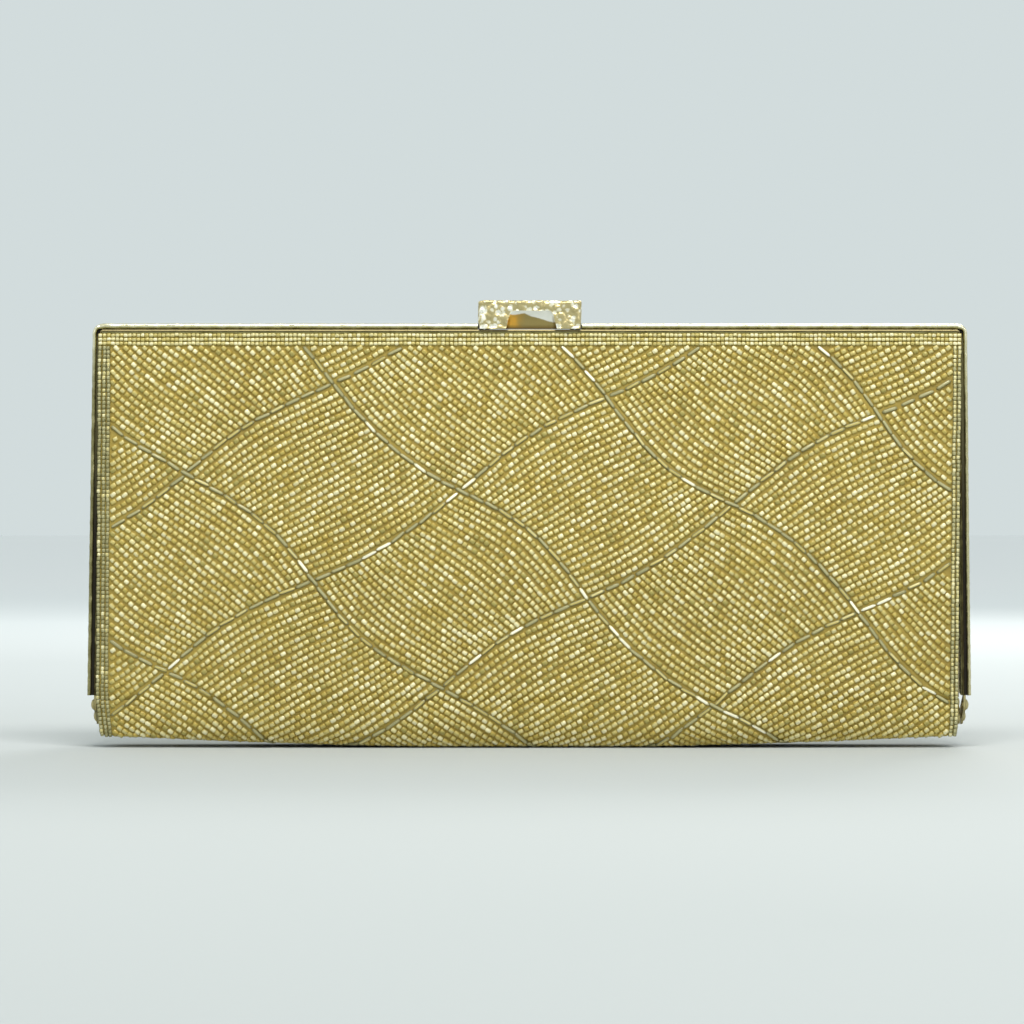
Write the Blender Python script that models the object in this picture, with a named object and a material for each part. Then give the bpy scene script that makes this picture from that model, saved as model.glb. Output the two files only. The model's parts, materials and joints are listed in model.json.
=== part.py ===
"""Beaded evening bag: two hinged metal frame halves, a lift clasp, beaded panels, lining and gussets.

Metres, +Z up, -Y is the front. The bag stands on the flat middle of its base, which is at the origin.
"""

import math

import bmesh
import bpy
import mathutils

MM = 0.001

# Frame halves
FRAME_TOP = 118.6 * MM
FRAME_HALF_WIDTH = 122.4 * MM
FRAME_LEG_SPLAY = 1.2 * MM
FRAME_LEG_LOW = 14.5 * MM
FRAME_DEPTH = 9.6 * MM
FRAME_CORNER = 3.0 * MM
FRAME_WALL = 1.1 * MM
HALF_GAP = 0.15 * MM
SIDE_LIP_SHARE = 0.65

# Side hinge
PIVOT_HEIGHT = 8.3 * MM
EAR_RIVET_HEIGHT = 11.8 * MM
EAR_RIVET_DEPTH = 6.8 * MM
EAR_THICK = 0.6 * MM
FRONT_EAR_OUTER = 122.1 * MM
REAR_EAR_OUTER = 121.2 * MM
RIVET_SHANK = 0.8 * MM
RUNNING_CLEARANCE = 0.05 * MM

# Beaded body
PANEL_HALF_WIDTH = 120.0 * MM
PANEL_TOP = 114.9 * MM
PANEL_LOW = 13.5 * MM
BELLY = 3.4 * MM
BELLY_HEIGHT = 45.0 * MM
BASE_SEAM = 13.2 * MM
BASE_HALF_LENGTH = 119.5 * MM
BASE_HALF_FLAT = 8.5 * MM
BASE_LEVEL_HALF = 30.0 * MM
BASE_END_RISE = 3.0 * MM

# Layers, as depths below the beaded surface
BEAD_CLOTH = (0.0, 1.9 * MM)
BOARD = (2.2 * MM, 3.2 * MM)
LINING = (3.5 * MM, 4.1 * MM)
BASE_BOARD = (2.2 * MM, 3.1 * MM)
LAYER_TOP = 115.0 * MM
LAYER_LOW = 14.0 * MM

# Gussets
GUSSET_EDGE = 118.85 * MM
GUSSET_FOLD_SLOPE = 0.40
GUSSET_HALF_THICK = 0.35 * MM
GUSSET_LOW = 5.6 * MM
GUSSET_TOP = 113.5 * MM

# Clasp
CLASP_HALF_WIDTH = 14.5 * MM
CLASP_FRONT = -10.4 * MM
CLASP_LOW = 117.3 * MM
CLASP_HIGH = 125.0 * MM
CLASP_PIVOT_Y = 5.0 * MM
CLASP_PIVOT_Z = 121.5 * MM
CLASP_TAIL_RADIUS = 3.5 * MM
NOTCH_HALF_WIDTH = 14.8 * MM
NOTCH_FLOOR = 116.9 * MM
PLATE_LOW = 116.0 * MM
PLATE_HIGH = 116.9 * MM
PLATE_RIVET_X = 16.6 * MM
PLATE_RIVET_Y = 6.8 * MM

HINGE_POINT = (0.0, 0.0, PIVOT_HEIGHT)
CLASP_POINT = (0.0, CLASP_PIVOT_Y, CLASP_PIVOT_Z)
ORIGIN = (0.0, 0.0, 0.0)

ACROSS = [-1.0, -0.93, -0.81, -0.64, -0.42, -0.2, 0.0, 0.2, 0.42, 0.64, 0.81, 0.93, 1.0]
UP = [0.0, 0.1, 0.2, 0.31, 0.44, 0.58, 0.72, 0.86, 1.0]


def clear_scene():
    for thing in list(bpy.data.objects):
        bpy.data.objects.remove(thing, do_unlink=True)


def make_material(name, colour, metallic, roughness):
    material = bpy.data.materials.new(name)
    material.use_nodes = True
    shader = material.node_tree.nodes["Principled BSDF"]
    shader.inputs["Base Color"].default_value = (colour[0], colour[1], colour[2], 1.0)
    shader.inputs["Metallic"].default_value = metallic
    shader.inputs["Roughness"].default_value = roughness
    material.diffuse_color = (colour[0], colour[1], colour[2], 1.0)
    return material


def make_object(name, points, faces, look, origin=ORIGIN, smooth=False):
    mesh = bpy.data.meshes.new(name)
    local = [(p[0] - origin[0], p[1] - origin[1], p[2] - origin[2]) for p in points]
    mesh.from_pydata(local, [], faces)
    mesh.validate()
    mesh.update()
    body = bpy.data.objects.new(name, mesh)
    body.location = origin
    bpy.context.scene.collection.objects.link(body)
    mesh.materials.append(make_material(name, look[0], look[1], look[2]))
    for face in mesh.polygons:
        face.use_smooth = smooth
    outward(body)
    return body


def outward(body):
    """Split the faces into triangles and turn them to point out of the closed body."""
    work = bmesh.new()
    work.from_mesh(body.data)
    bmesh.ops.triangulate(work, faces=work.faces)
    bmesh.ops.recalc_face_normals(work, faces=work.faces)
    if work.calc_volume(signed=True) < 0.0:
        bmesh.ops.reverse_faces(work, faces=work.faces)
    work.to_mesh(body.data)
    work.free()


def make_cutter(name, points, faces):
    cutter = make_object(name, points, faces, ((0.5, 0.5, 0.5), 0.0, 0.5))
    cutter.hide_render = True
    cutter.display_type = "WIRE"
    return cutter


def cut(body, cutter):
    step = body.modifiers.new("cut " + cutter.name, "BOOLEAN")
    step.operation = "DIFFERENCE"
    step.solver = "EXACT"
    step.object = cutter


def loft(rings):
    """Points and faces of a closed body through rings of equal length, capped at both ends."""
    count = len(rings[0])
    points = [point for ring in rings for point in ring]
    faces = []
    for row in range(len(rings) - 1):
        here = row * count
        there = here + count
        for i in range(count):
            j = (i + 1) % count
            faces.append((here + i, here + j, there + j, there + i))
    last = (len(rings) - 1) * count
    flat_first = mathutils.geometry.tessellate_polygon([[mathutils.Vector(p) for p in rings[0]]])
    flat_last = mathutils.geometry.tessellate_polygon([[mathutils.Vector(p) for p in rings[-1]]])
    faces.extend([(a, b, c) for a, b, c in flat_first])
    faces.extend([(last + c, last + b, last + a) for a, b, c in flat_last])
    return points, faces


def plate(outline, holes, low, high, place):
    """Points and faces of a flat plate with holes; place(u, v, w) gives the point at height w."""
    loops = [outline] + holes
    flat = [mathutils.Vector((u, v, 0.0)) for loop in loops for u, v in loop]
    triangles = mathutils.geometry.tessellate_polygon(
        [[mathutils.Vector((u, v, 0.0)) for u, v in loop] for loop in loops]
    )
    count = len(flat)
    points = [place(p.x, p.y, low) for p in flat] + [place(p.x, p.y, high) for p in flat]
    faces = [(a, b, c) for a, b, c in triangles]
    faces.extend([(count + c, count + b, count + a) for a, b, c in triangles])
    start = 0
    for loop in loops:
        size = len(loop)
        for i in range(size):
            a = start + i
            b = start + (i + 1) % size
            faces.append((a, b, count + b, count + a))
        start += size
    return points, faces


def circle(centre_u, centre_v, radius, count=16):
    turn = 2.0 * math.pi / count
    return [
        (centre_u + radius * math.cos(i * turn), centre_v + radius * math.sin(i * turn)) for i in range(count)
    ]


def turned(profile, count, place):
    """A closed body of revolution; profile is (along, radius), and both ends lie on the axis."""
    points = [place(profile[0][0], 0.0, 0.0)]
    faces = []
    turn = 2.0 * math.pi / count
    for along, radius in profile[1:-1]:
        for i in range(count):
            points.append(place(along, radius * math.cos(i * turn), radius * math.sin(i * turn)))
    points.append(place(profile[-1][0], 0.0, 0.0))
    rings = len(profile) - 2
    for i in range(count):
        j = (i + 1) % count
        faces.append((0, 1 + j, 1 + i))
        for ring in range(rings - 1):
            a = 1 + ring * count
            faces.append((a + i, a + j, a + count + j, a + count + i))
        end = 1 + (rings - 1) * count
        faces.append((end + i, end + j, len(points) - 1))
    return points, faces


def box_mesh(low, high):
    x0, y0, z0 = low
    x1, y1, z1 = high
    bottom = [(x0, y0, z0), (x1, y0, z0), (x1, y1, z0), (x0, y1, z0)]
    top = [(x0, y0, z1), (x1, y0, z1), (x1, y1, z1), (x0, y1, z1)]
    return loft([bottom, top])


def smooth_step(value):
    value = min(1.0, max(0.0, value))
    return value * value * (3.0 - 2.0 * value)


def belly(x, z):
    """How deep the beaded surface lies in front of the middle plane."""
    across = max(0.0, 1.0 - (abs(x) / PANEL_HALF_WIDTH) ** 4)
    down = smooth_step((PANEL_TOP - z) / (PANEL_TOP - BELLY_HEIGHT))
    return FRAME_DEPTH + BELLY * across * down


def base_rise(x):
    """The base is flat in the middle and lifts a little towards both ends."""
    beyond = max(0.0, abs(x) - BASE_LEVEL_HALF) / (PANEL_HALF_WIDTH - BASE_LEVEL_HALF)
    return BASE_END_RISE * beyond**1.4


# Looks: colour, metallic, roughness
GOLD = ((0.80, 0.66, 0.36), 1.0, 0.28)
PALE_GOLD = ((0.86, 0.78, 0.60), 1.0, 0.35)
STEEL = ((0.55, 0.53, 0.50), 1.0, 0.35)
BEADS = ((0.58, 0.46, 0.22), 0.0, 0.35)
SATIN = ((0.78, 0.66, 0.42), 0.0, 0.5)
CARD = ((0.62, 0.56, 0.46), 0.0, 0.85)


def frame_stations():
    """Stations along the inverted U: point, outward direction and how deep the lips reach."""
    low_x = FRAME_HALF_WIDTH + FRAME_LEG_SPLAY
    side = mathutils.Vector((FRAME_TOP - FRAME_LEG_LOW, FRAME_LEG_SPLAY)).normalized()
    tilt = math.atan2(side.y, side.x)
    centre_x = FRAME_HALF_WIDTH - FRAME_CORNER
    centre_z = FRAME_TOP - FRAME_CORNER
    right = []
    for share in (0.0, 0.35, 0.7):
        z = FRAME_LEG_LOW + share * (centre_z - FRAME_LEG_LOW)
        x = low_x - share * (low_x - centre_x - FRAME_CORNER * math.cos(tilt))
        right.append((x, z, math.cos(tilt), math.sin(tilt), SIDE_LIP_SHARE))
    for i in range(6):
        angle = tilt + (math.pi / 2.0 - tilt) * i / 5.0
        x = centre_x + FRAME_CORNER * math.cos(angle)
        z = centre_z + FRAME_CORNER * math.sin(angle)
        right.append((x, z, math.cos(angle), math.sin(angle), SIDE_LIP_SHARE))
    right.append((110.0 * MM, FRAME_TOP, 0.0, 1.0, 1.0))
    right.append((60.0 * MM, FRAME_TOP, 0.0, 1.0, 1.0))
    right.append((20.0 * MM, FRAME_TOP, 0.0, 1.0, 1.0))
    left = [(-x, z, -nx, nz, lip) for x, z, nx, nz, lip in right]
    return left + right[::-1]


def frame_section(lip):
    """The channel's outline as (distance in from the outer surface, depth from the middle plane)."""
    return [
        (0.0, HALF_GAP),
        (0.0, 8.9 * MM),
        (0.25 * MM * lip, 9.35 * MM),
        (0.7 * MM * lip, FRAME_DEPTH),
        (1.2 * MM * lip, 9.45 * MM),
        (1.45 * MM * lip, 9.1 * MM),
        (2.0 * MM * lip, 9.1 * MM),
        (2.15 * MM * lip, 9.4 * MM),
        (2.7 * MM * lip, 9.4 * MM),
        (2.8 * MM * lip, 9.2 * MM),
        (2.8 * MM * lip, 8.4 * MM),
        (FRAME_WALL, 8.4 * MM),
        (FRAME_WALL + 0.05 * MM, 5.2 * MM),
        (4.2 * MM * lip, 5.2 * MM),
        (4.2 * MM * lip, 4.6 * MM),
        (FRAME_WALL + 0.05 * MM, 4.6 * MM),
        (FRAME_WALL - 0.1 * MM, HALF_GAP),
    ]


def make_frame(name, facing, origin):
    rings = []
    for x, z, nx, nz, lip in frame_stations():
        ring = []
        for inward, depth in frame_section(lip):
            ring.append((x - inward * nx, facing * depth, z - inward * nz))
        rings.append(ring)
    points, faces = loft(rings)
    return make_object(name, points, faces, GOLD, origin)


def make_layer(name, facing, depths, half_width, low, high, look, origin, across=None, up=None):
    """A curved sheet lying at a given depth below the beaded surface."""
    columns = across or ACROSS
    rows = up or UP
    points = []
    for depth in depths:
        for share in rows:
            z = low + share * (high - low)
            for part in columns:
                x = part * half_width
                points.append((x, facing * (belly(x, z) - depth), z))
    wide = len(columns)
    tall = len(rows)
    block = wide * tall
    faces = []
    for r in range(tall - 1):
        for c in range(wide - 1):
            a = r * wide + c
            faces.append((a, a + 1, a + wide + 1, a + wide))
            faces.append((block + a, block + a + wide, block + a + wide + 1, block + a + 1))
    for c in range(wide - 1):
        a = c
        b = (tall - 1) * wide + c
        faces.append((a, block + a, block + a + 1, a + 1))
        faces.append((b, b + 1, block + b + 1, block + b))
    for r in range(tall - 1):
        a = r * wide
        b = a + wide - 1
        faces.append((a, a + wide, block + a + wide, block + a))
        faces.append((b, block + b, block + b + wide, b + wide))
    return make_object(name, points, faces, look, origin, smooth=False)


def base_curve(x, depth):
    """Half of the base's cross-section at one depth, from the seam to the edge of the flat."""
    middle = belly(x, BASE_SEAM) - depth
    flat = min(BASE_HALF_FLAT - 0.55 * depth, middle - 0.4 * MM)
    bottom = base_rise(x) + depth
    curve = []
    for i in range(7):
        angle = math.pi / 2.0 * i / 6.0
        y = flat + (middle - flat) * math.cos(angle)
        z = bottom + (BASE_SEAM - bottom) * (1.0 - math.sin(angle))
        curve.append((y, z, math.sin(angle)))
    return curve


def make_trough(name, depths, half_length, taper, look):
    """The part of the cloth that turns under the bag, from the front seam to the rear seam."""
    rings = []
    for part in ACROSS:
        x = part * half_length
        outer = base_curve(x, depths[0])
        inner = base_curve(x, depths[1])
        ring = []
        for side, curve in ((-1.0, outer), (1.0, outer[::-1]), (1.0, inner), (-1.0, inner[::-1])):
            for y, z, down in curve:
                pull = taper * down * down * abs(part) ** 12
                ring.append((x - math.copysign(pull, x), side * y, z))
        rings.append(ring)
    count = len(rings[0])
    points, faces = loft(rings)
    faces = [face for face in faces if len(face) == 4]
    half = count // 2
    last = (len(rings) - 1) * count
    for i in range(half - 1):
        a = i
        b = count - 1 - i
        faces.append((a, b, b - 1, a + 1))
        faces.append((last + a, last + a + 1, last + b - 1, last + b))
    return make_object(name, points, faces, look, ORIGIN)


def gusset_half_width(z):
    low = 5.5 * MM
    high = 4.2 * MM
    return low + (high - low) * smooth_step((z - GUSSET_LOW) / (8.0 * MM))


def make_gusset(name, side):
    """The folded satin side: its edges follow the frame legs, and its fold points into the bag."""
    rings = []
    for share in (0.0, 0.04, 0.09, 0.16, 0.3, 0.5, 0.75, 1.0):
        z = GUSSET_LOW + share * (GUSSET_TOP - GUSSET_LOW)
        fold = max(0.0, z - PIVOT_HEIGHT - 1.5 * MM) * GUSSET_FOLD_SLOPE
        wide = gusset_half_width(z)
        t = GUSSET_HALF_THICK
        slant = min(1.0, fold / (4.0 * MM))
        edge_y = t * slant
        edge_x = t * (1.0 - slant)
        plan = [
            (GUSSET_EDGE + edge_x, -wide + edge_y),
            (GUSSET_EDGE - fold + t, 0.0),
            (GUSSET_EDGE + edge_x, wide - edge_y),
            (GUSSET_EDGE - edge_x, wide + edge_y),
            (GUSSET_EDGE - fold - t, 0.0),
            (GUSSET_EDGE - edge_x, -wide - edge_y),
        ]
        rings.append([(side * x, y, z) for x, y in plan])
    points, faces = loft(rings)
    return make_object(name, points, faces, SATIN, ORIGIN)


def ear_outline(facing):
    """The ear's side view as (depth, height): a tab up the leg and a round eye at the pivot."""
    eye = 2.4 * MM
    rim = []
    for degrees in range(-150, 61, 15):
        angle = math.radians(degrees)
        rim.append((eye * math.cos(angle), PIVOT_HEIGHT + eye * math.sin(angle)))
    outline = rim + [
        (-5.5 * MM, 14.3 * MM),
        (-5.5 * MM, 24.0 * MM),
        (-8.1 * MM, 24.0 * MM),
        (-8.1 * MM, 11.2 * MM),
        (-7.4 * MM, 10.2 * MM),
    ]
    if facing > 0.0:
        outline = [(-y, z) for y, z in outline][::-1]
    return outline


def make_ear(name, side, facing, outer, origin):
    outline = ear_outline(facing)
    bore = RIVET_SHANK + RUNNING_CLEARANCE
    holes = [circle(0.0, PIVOT_HEIGHT, bore), circle(facing * EAR_RIVET_DEPTH, EAR_RIVET_HEIGHT, bore)]

    def place(u, v, w):
        return (side * w, u, v)

    points, faces = plate(outline, holes, outer - EAR_THICK, outer, place)
    return make_object(name, points, faces, GOLD, origin)


def make_cross_rivet(name, side, y, z, head_face, tail_face, head, origin):
    """A round-headed rivet lying along X: the head is outside, the tail inside."""
    profile = [
        (head_face + 0.95 * MM, 0.0),
        (head_face + 0.85 * MM, 0.45 * head),
        (head_face + 0.55 * MM, 0.82 * head),
        (head_face + 0.05 * MM, head),
        (head_face + 0.05 * MM, RIVET_SHANK),
        (tail_face - 0.05 * MM, RIVET_SHANK),
        (tail_face - 0.05 * MM, 0.75 * head),
        (tail_face - 0.5 * MM, 0.6 * head),
        (tail_face - 0.5 * MM, 0.0),
    ]

    def place(along, a, b):
        return (side * along, y + a, z + b)

    points, faces = turned(profile, 16, place)
    return make_object(name, points, faces, GOLD, origin, smooth=True)


def make_upright_rivet(name, x, y, top, waist, origin, look=STEEL, low=None):
    """A flush rivet standing along Z: a plain top end and a wider tail below."""
    foot = low if low is not None else waist - 0.55 * MM
    profile = [
        (top, 0.0),
        (top, RIVET_SHANK),
        (waist - 0.05 * MM, RIVET_SHANK),
        (waist - 0.05 * MM, 1.3 * MM),
        (foot, 1.1 * MM),
        (foot, 0.0),
    ]

    def place(along, a, b):
        return (x + a, y + b, along)

    points, faces = turned(profile, 16, place)
    return make_object(name, points, faces, look, origin, smooth=True)


def make_plate_with_tabs(name, facing, origin, look):
    """The flat plate in the frame's notch, with a tab under the frame at each end."""
    x0 = CLASP_HALF_WIDTH
    x1 = 18.5 * MM
    near = 0.3 * MM
    tab = 5.5 * MM
    far = 8.1 * MM
    half = [(x0, near), (x0, tab + 0.1 * MM), (x1, tab), (x1, far)]
    outline = half + [(-x, y) for x, y in half[::-1]]
    outline = [(x, facing * y) for x, y in outline]
    bore = RIVET_SHANK + RUNNING_CLEARANCE
    holes = [circle(s * PLATE_RIVET_X, facing * PLATE_RIVET_Y, bore) for s in (-1.0, 1.0)]

    def place(u, v, w):
        return (u, v, w)

    points, faces = plate(outline, holes, PLATE_LOW, PLATE_HIGH, place)
    return make_object(name, points, faces, look, origin)


def make_bracket(name):
    """The rear plate with two upright ears for the clasp pin, made as one bent piece."""
    body = make_plate_with_tabs(name, 1.0, ORIGIN, STEEL)
    eye = 1.8 * MM
    ears = []
    for side in (-1.0, 1.0):
        outline = [(CLASP_PIVOT_Y + eye, PLATE_HIGH - 0.3 * MM)]
        for degrees in range(0, 181, 20):
            angle = math.radians(degrees)
            outline.append((CLASP_PIVOT_Y + eye * math.cos(angle), CLASP_PIVOT_Z + eye * math.sin(angle)))
        outline.append((CLASP_PIVOT_Y - eye, PLATE_HIGH - 0.3 * MM))

        def place(u, v, w, side=side):
            return (side * w, u, v)

        bore = RIVET_SHANK + RUNNING_CLEARANCE
        holes = [circle(CLASP_PIVOT_Y, CLASP_PIVOT_Z, bore)]
        points, faces = plate(outline, holes, 11.4 * MM, 12.6 * MM, place)
        ear = make_cutter("bracket ear guide " + ("left" if side < 0.0 else "right"), points, faces)
        ears.append(ear)
    for ear in ears:
        step = body.modifiers.new("join " + ear.name, "BOOLEAN")
        step.operation = "UNION"
        step.solver = "EXACT"
        step.object = ear
    return body


def clasp_outline():
    """The clasp bar's side view as (depth, height): a square nose and a tail rounded about the pin."""
    outline = [
        (CLASP_FRONT, CLASP_LOW),
        (2.0 * MM, CLASP_LOW),
    ]
    for degrees in range(-90, 91, 15):
        angle = math.radians(degrees)
        outline.append(
            (
                CLASP_PIVOT_Y + CLASP_TAIL_RADIUS * math.cos(angle),
                CLASP_PIVOT_Z + CLASP_TAIL_RADIUS * math.sin(angle),
            )
        )
    outline.append((CLASP_FRONT + 1.0 * MM, CLASP_HIGH))
    outline.append((CLASP_FRONT + 0.3 * MM, CLASP_HIGH - 0.3 * MM))
    outline.append((CLASP_FRONT, CLASP_HIGH - 1.0 * MM))
    return outline


def make_clasp_bar():
    def place(u, v, w):
        return (w, u, v)

    points, faces = plate(clasp_outline(), [], -CLASP_HALF_WIDTH, CLASP_HALF_WIDTH, place)
    bar = make_object("clasp_bar", points, faces, PALE_GOLD, CLASP_POINT)

    points, faces = box_mesh((-12.9 * MM, -8.0 * MM, 110.0 * MM), (12.9 * MM, 12.0 * MM, 123.6 * MM))
    cut(bar, make_cutter("clasp hollow", points, faces))

    low = 116.0 * MM
    mouth = [(-7.4 * MM, low), (7.4 * MM, low), (6.1 * MM, 122.0 * MM), (5.5 * MM, 122.5 * MM)]
    mouth += [(-5.5 * MM, 122.5 * MM), (-6.1 * MM, 122.0 * MM)]

    def scoop(u, v, w):
        return (u, w, v)

    points, faces = plate(mouth, [], -12.0 * MM, -9.2 * MM, scoop)
    cut(bar, make_cutter("finger recess", points, faces))

    profile = [(-20.0 * MM, 0.0), (-20.0 * MM, 0.85 * MM), (20.0 * MM, 0.85 * MM), (20.0 * MM, 0.0)]

    def along_pin(along, a, b):
        return (along, CLASP_PIVOT_Y + a, CLASP_PIVOT_Z + b)

    points, faces = turned(profile, 16, along_pin)
    cut(bar, make_cutter("pin bore", points, faces))

    profile = [(120.0 * MM, 0.0), (120.0 * MM, 0.85 * MM), (124.4 * MM, 0.85 * MM), (124.4 * MM, 0.0)]

    def upright(along, a, b):
        return (a, -3.2 * MM + b, along)

    points, faces = turned(profile, 16, upright)
    cut(bar, make_cutter("hook rivet seat", points, faces))
    return bar


def make_hook():
    """The tongue inside the clasp bar: a foot under the bar's roof, a stem and a nose."""
    outline = [
        (-1.4 * MM, 122.7 * MM),
        (-1.4 * MM, 123.3 * MM),
        (-5.6 * MM, 123.3 * MM),
        (-5.6 * MM, 118.2 * MM),
        (-7.4 * MM, 118.0 * MM),
        (-7.4 * MM, 117.5 * MM),
        (-4.9 * MM, 117.5 * MM),
        (-4.9 * MM, 122.7 * MM),
    ]

    def place(u, v, w):
        return (w, u, v)

    points, faces = plate(outline, [], -5.0 * MM, 5.0 * MM, place)
    hook = make_object("clasp_hook", points, faces, STEEL, CLASP_POINT)
    profile = [(121.0 * MM, 0.0), (121.0 * MM, 0.85 * MM), (124.0 * MM, 0.85 * MM), (124.0 * MM, 0.0)]

    def upright(along, a, b):
        return (a, -3.2 * MM + b, along)

    points, faces = turned(profile, 16, upright)
    cut(hook, make_cutter("hook rivet hole", points, faces))
    return hook


def make_spring():
    """A close-wound coil around the clasp pin, with a short leg at each end."""
    turns = 5
    steps = 14
    sides = 6
    coil = 1.45 * MM
    wire = 0.22 * MM
    pitch = 0.7 * MM
    line = []
    for i in range(turns * steps + 1):
        angle = 2.0 * math.pi * i / steps + math.pi
        x = (i / steps - turns / 2.0) * pitch
        line.append(
            mathutils.Vector(
                (x, CLASP_PIVOT_Y + coil * math.cos(angle), CLASP_PIVOT_Z + coil * math.sin(angle))
            )
        )
    first = line[0] + mathutils.Vector((0.0, 0.0, -3.2 * MM))
    last = line[-1] + mathutils.Vector((0.0, -4.0 * MM, 1.4 * MM))
    line = [first] + line + [last]
    rings = []
    for i, here in enumerate(line):
        before = line[max(0, i - 1)]
        after = line[min(len(line) - 1, i + 1)]
        ahead = (after - before).normalized()
        aside = ahead.cross(mathutils.Vector((1.0, 0.0, 0.0))).normalized()
        over = ahead.cross(aside).normalized()
        ring = []
        for k in range(sides):
            angle = 2.0 * math.pi * k / sides
            spot = here + aside * (wire * math.cos(angle)) + over * (wire * math.sin(angle))
            ring.append((spot.x, spot.y, spot.z))
        rings.append(ring)
    points, faces = loft(rings)
    return make_object("clasp_spring", points, faces, STEEL, ORIGIN, smooth=True)


def make_base_board():
    rings = []
    half_length = 112.0 * MM
    half_width = 6.0 * MM
    for part in ACROSS:
        x = part * half_length
        low = base_rise(x) + BASE_BOARD[0]
        high = base_rise(x) + BASE_BOARD[1]
        ring = [(x, -half_width, low), (x, half_width, low)]
        ring += [(x, half_width, high), (x, -half_width, high)]
        rings.append(ring)
    points, faces = loft(rings)
    return make_object("base_board", points, faces, CARD, ORIGIN)


def notch_cutter():
    outline = [
        (-11.0 * MM, 127.0 * MM),
        (-11.0 * MM, NOTCH_FLOOR),
        (-8.25 * MM, NOTCH_FLOOR),
        (-8.25 * MM, 115.7 * MM),
        (8.25 * MM, 115.7 * MM),
        (8.25 * MM, NOTCH_FLOOR),
        (11.0 * MM, NOTCH_FLOOR),
        (11.0 * MM, 127.0 * MM),
    ]

    def place(u, v, w):
        return (w, u, v)

    points, faces = plate(outline, [], -NOTCH_HALF_WIDTH, NOTCH_HALF_WIDTH, place)
    return make_cutter("clasp notch", points, faces)


def rivet_hole_cutter(name, x, y):
    profile = [(117.0 * MM, 0.0), (117.0 * MM, 0.85 * MM), (120.0 * MM, 0.85 * MM), (120.0 * MM, 0.0)]

    def place(along, a, b):
        return (x + a, y + b, along)

    points, faces = turned(profile, 16, place)
    return make_cutter(name, points, faces)


def build():
    clear_scene()
    notch = notch_cutter()
    front_frame = make_frame("front_frame", -1.0, HINGE_POINT)
    rear_frame = make_frame("rear_frame", 1.0, ORIGIN)
    for frame, facing, word in ((front_frame, -1.0, "front"), (rear_frame, 1.0, "rear")):
        cut(frame, notch)
        for side, hand in ((-1.0, "left"), (1.0, "right")):
            name = "rivet hole " + word + " " + hand
            cut(frame, rivet_hole_cutter(name, side * PLATE_RIVET_X, facing * PLATE_RIVET_Y))

    for word, facing, origin in (("front", -1.0, HINGE_POINT), ("rear", 1.0, ORIGIN)):
        make_layer(
            word + "_beaded_panel", facing, BEAD_CLOTH, PANEL_HALF_WIDTH, PANEL_LOW, PANEL_TOP, BEADS, origin
        )
        make_layer(word + "_board", facing, BOARD, 120.3 * MM, LAYER_LOW, LAYER_TOP, CARD, origin)
        make_layer(word + "_lining", facing, LINING, 120.3 * MM, LAYER_LOW, LAYER_TOP, SATIN, origin)

    make_trough("base_fold", BEAD_CLOTH, BASE_HALF_LENGTH, 1.4 * MM, BEADS)
    make_base_board()
    make_trough("base_lining", LINING, 117.5 * MM, 0.0, SATIN)
    make_gusset("left_gusset", -1.0)
    make_gusset("right_gusset", 1.0)

    for hand, side in (("left", -1.0), ("right", 1.0)):
        make_ear("front_" + hand + "_ear", side, -1.0, FRONT_EAR_OUTER, HINGE_POINT)
        make_ear("rear_" + hand + "_ear", side, 1.0, REAR_EAR_OUTER, ORIGIN)
        make_cross_rivet(
            "front_" + hand + "_ear_rivet",
            side,
            -EAR_RIVET_DEPTH,
            EAR_RIVET_HEIGHT,
            FRONT_EAR_OUTER,
            FRONT_EAR_OUTER - EAR_THICK,
            1.6 * MM,
            HINGE_POINT,
        )
        make_cross_rivet(
            "rear_" + hand + "_ear_rivet",
            side,
            EAR_RIVET_DEPTH,
            EAR_RIVET_HEIGHT,
            REAR_EAR_OUTER,
            REAR_EAR_OUTER - EAR_THICK,
            1.6 * MM,
            ORIGIN,
        )
        make_cross_rivet(
            hand + "_pivot_rivet",
            side,
            0.0,
            PIVOT_HEIGHT,
            FRONT_EAR_OUTER,
            REAR_EAR_OUTER - EAR_THICK,
            1.7 * MM,
            ORIGIN,
        )
        make_upright_rivet(
            "catch_" + hand + "_rivet",
            side * PLATE_RIVET_X,
            -PLATE_RIVET_Y,
            FRAME_TOP - 0.05 * MM,
            PLATE_LOW,
            HINGE_POINT,
        )
        make_upright_rivet(
            "bracket_" + hand + "_rivet",
            side * PLATE_RIVET_X,
            PLATE_RIVET_Y,
            FRAME_TOP - 0.05 * MM,
            PLATE_LOW,
            ORIGIN,
        )

    make_plate_with_tabs("catch_plate", -1.0, HINGE_POINT, STEEL)
    make_bracket("clasp_bracket")
    make_clasp_bar()
    make_hook()
    make_upright_rivet("hook_rivet", 0.0, -3.2 * MM, 124.2 * MM, 122.7 * MM, CLASP_POINT, STEEL, 122.1 * MM)

    def along_pin(along, a, b):
        return (along, CLASP_PIVOT_Y + a, CLASP_PIVOT_Z + b)

    end = 14.4 * MM
    profile = [(-end, 0.0), (-end, RIVET_SHANK), (end, RIVET_SHANK), (end, 0.0)]
    points, faces = turned(profile, 16, along_pin)
    make_object("clasp_pin", points, faces, STEEL, ORIGIN, smooth=True)
    make_spring()


build()
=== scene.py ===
"""Beaded evening bag: the visual model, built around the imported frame."""

import json
import math

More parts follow.
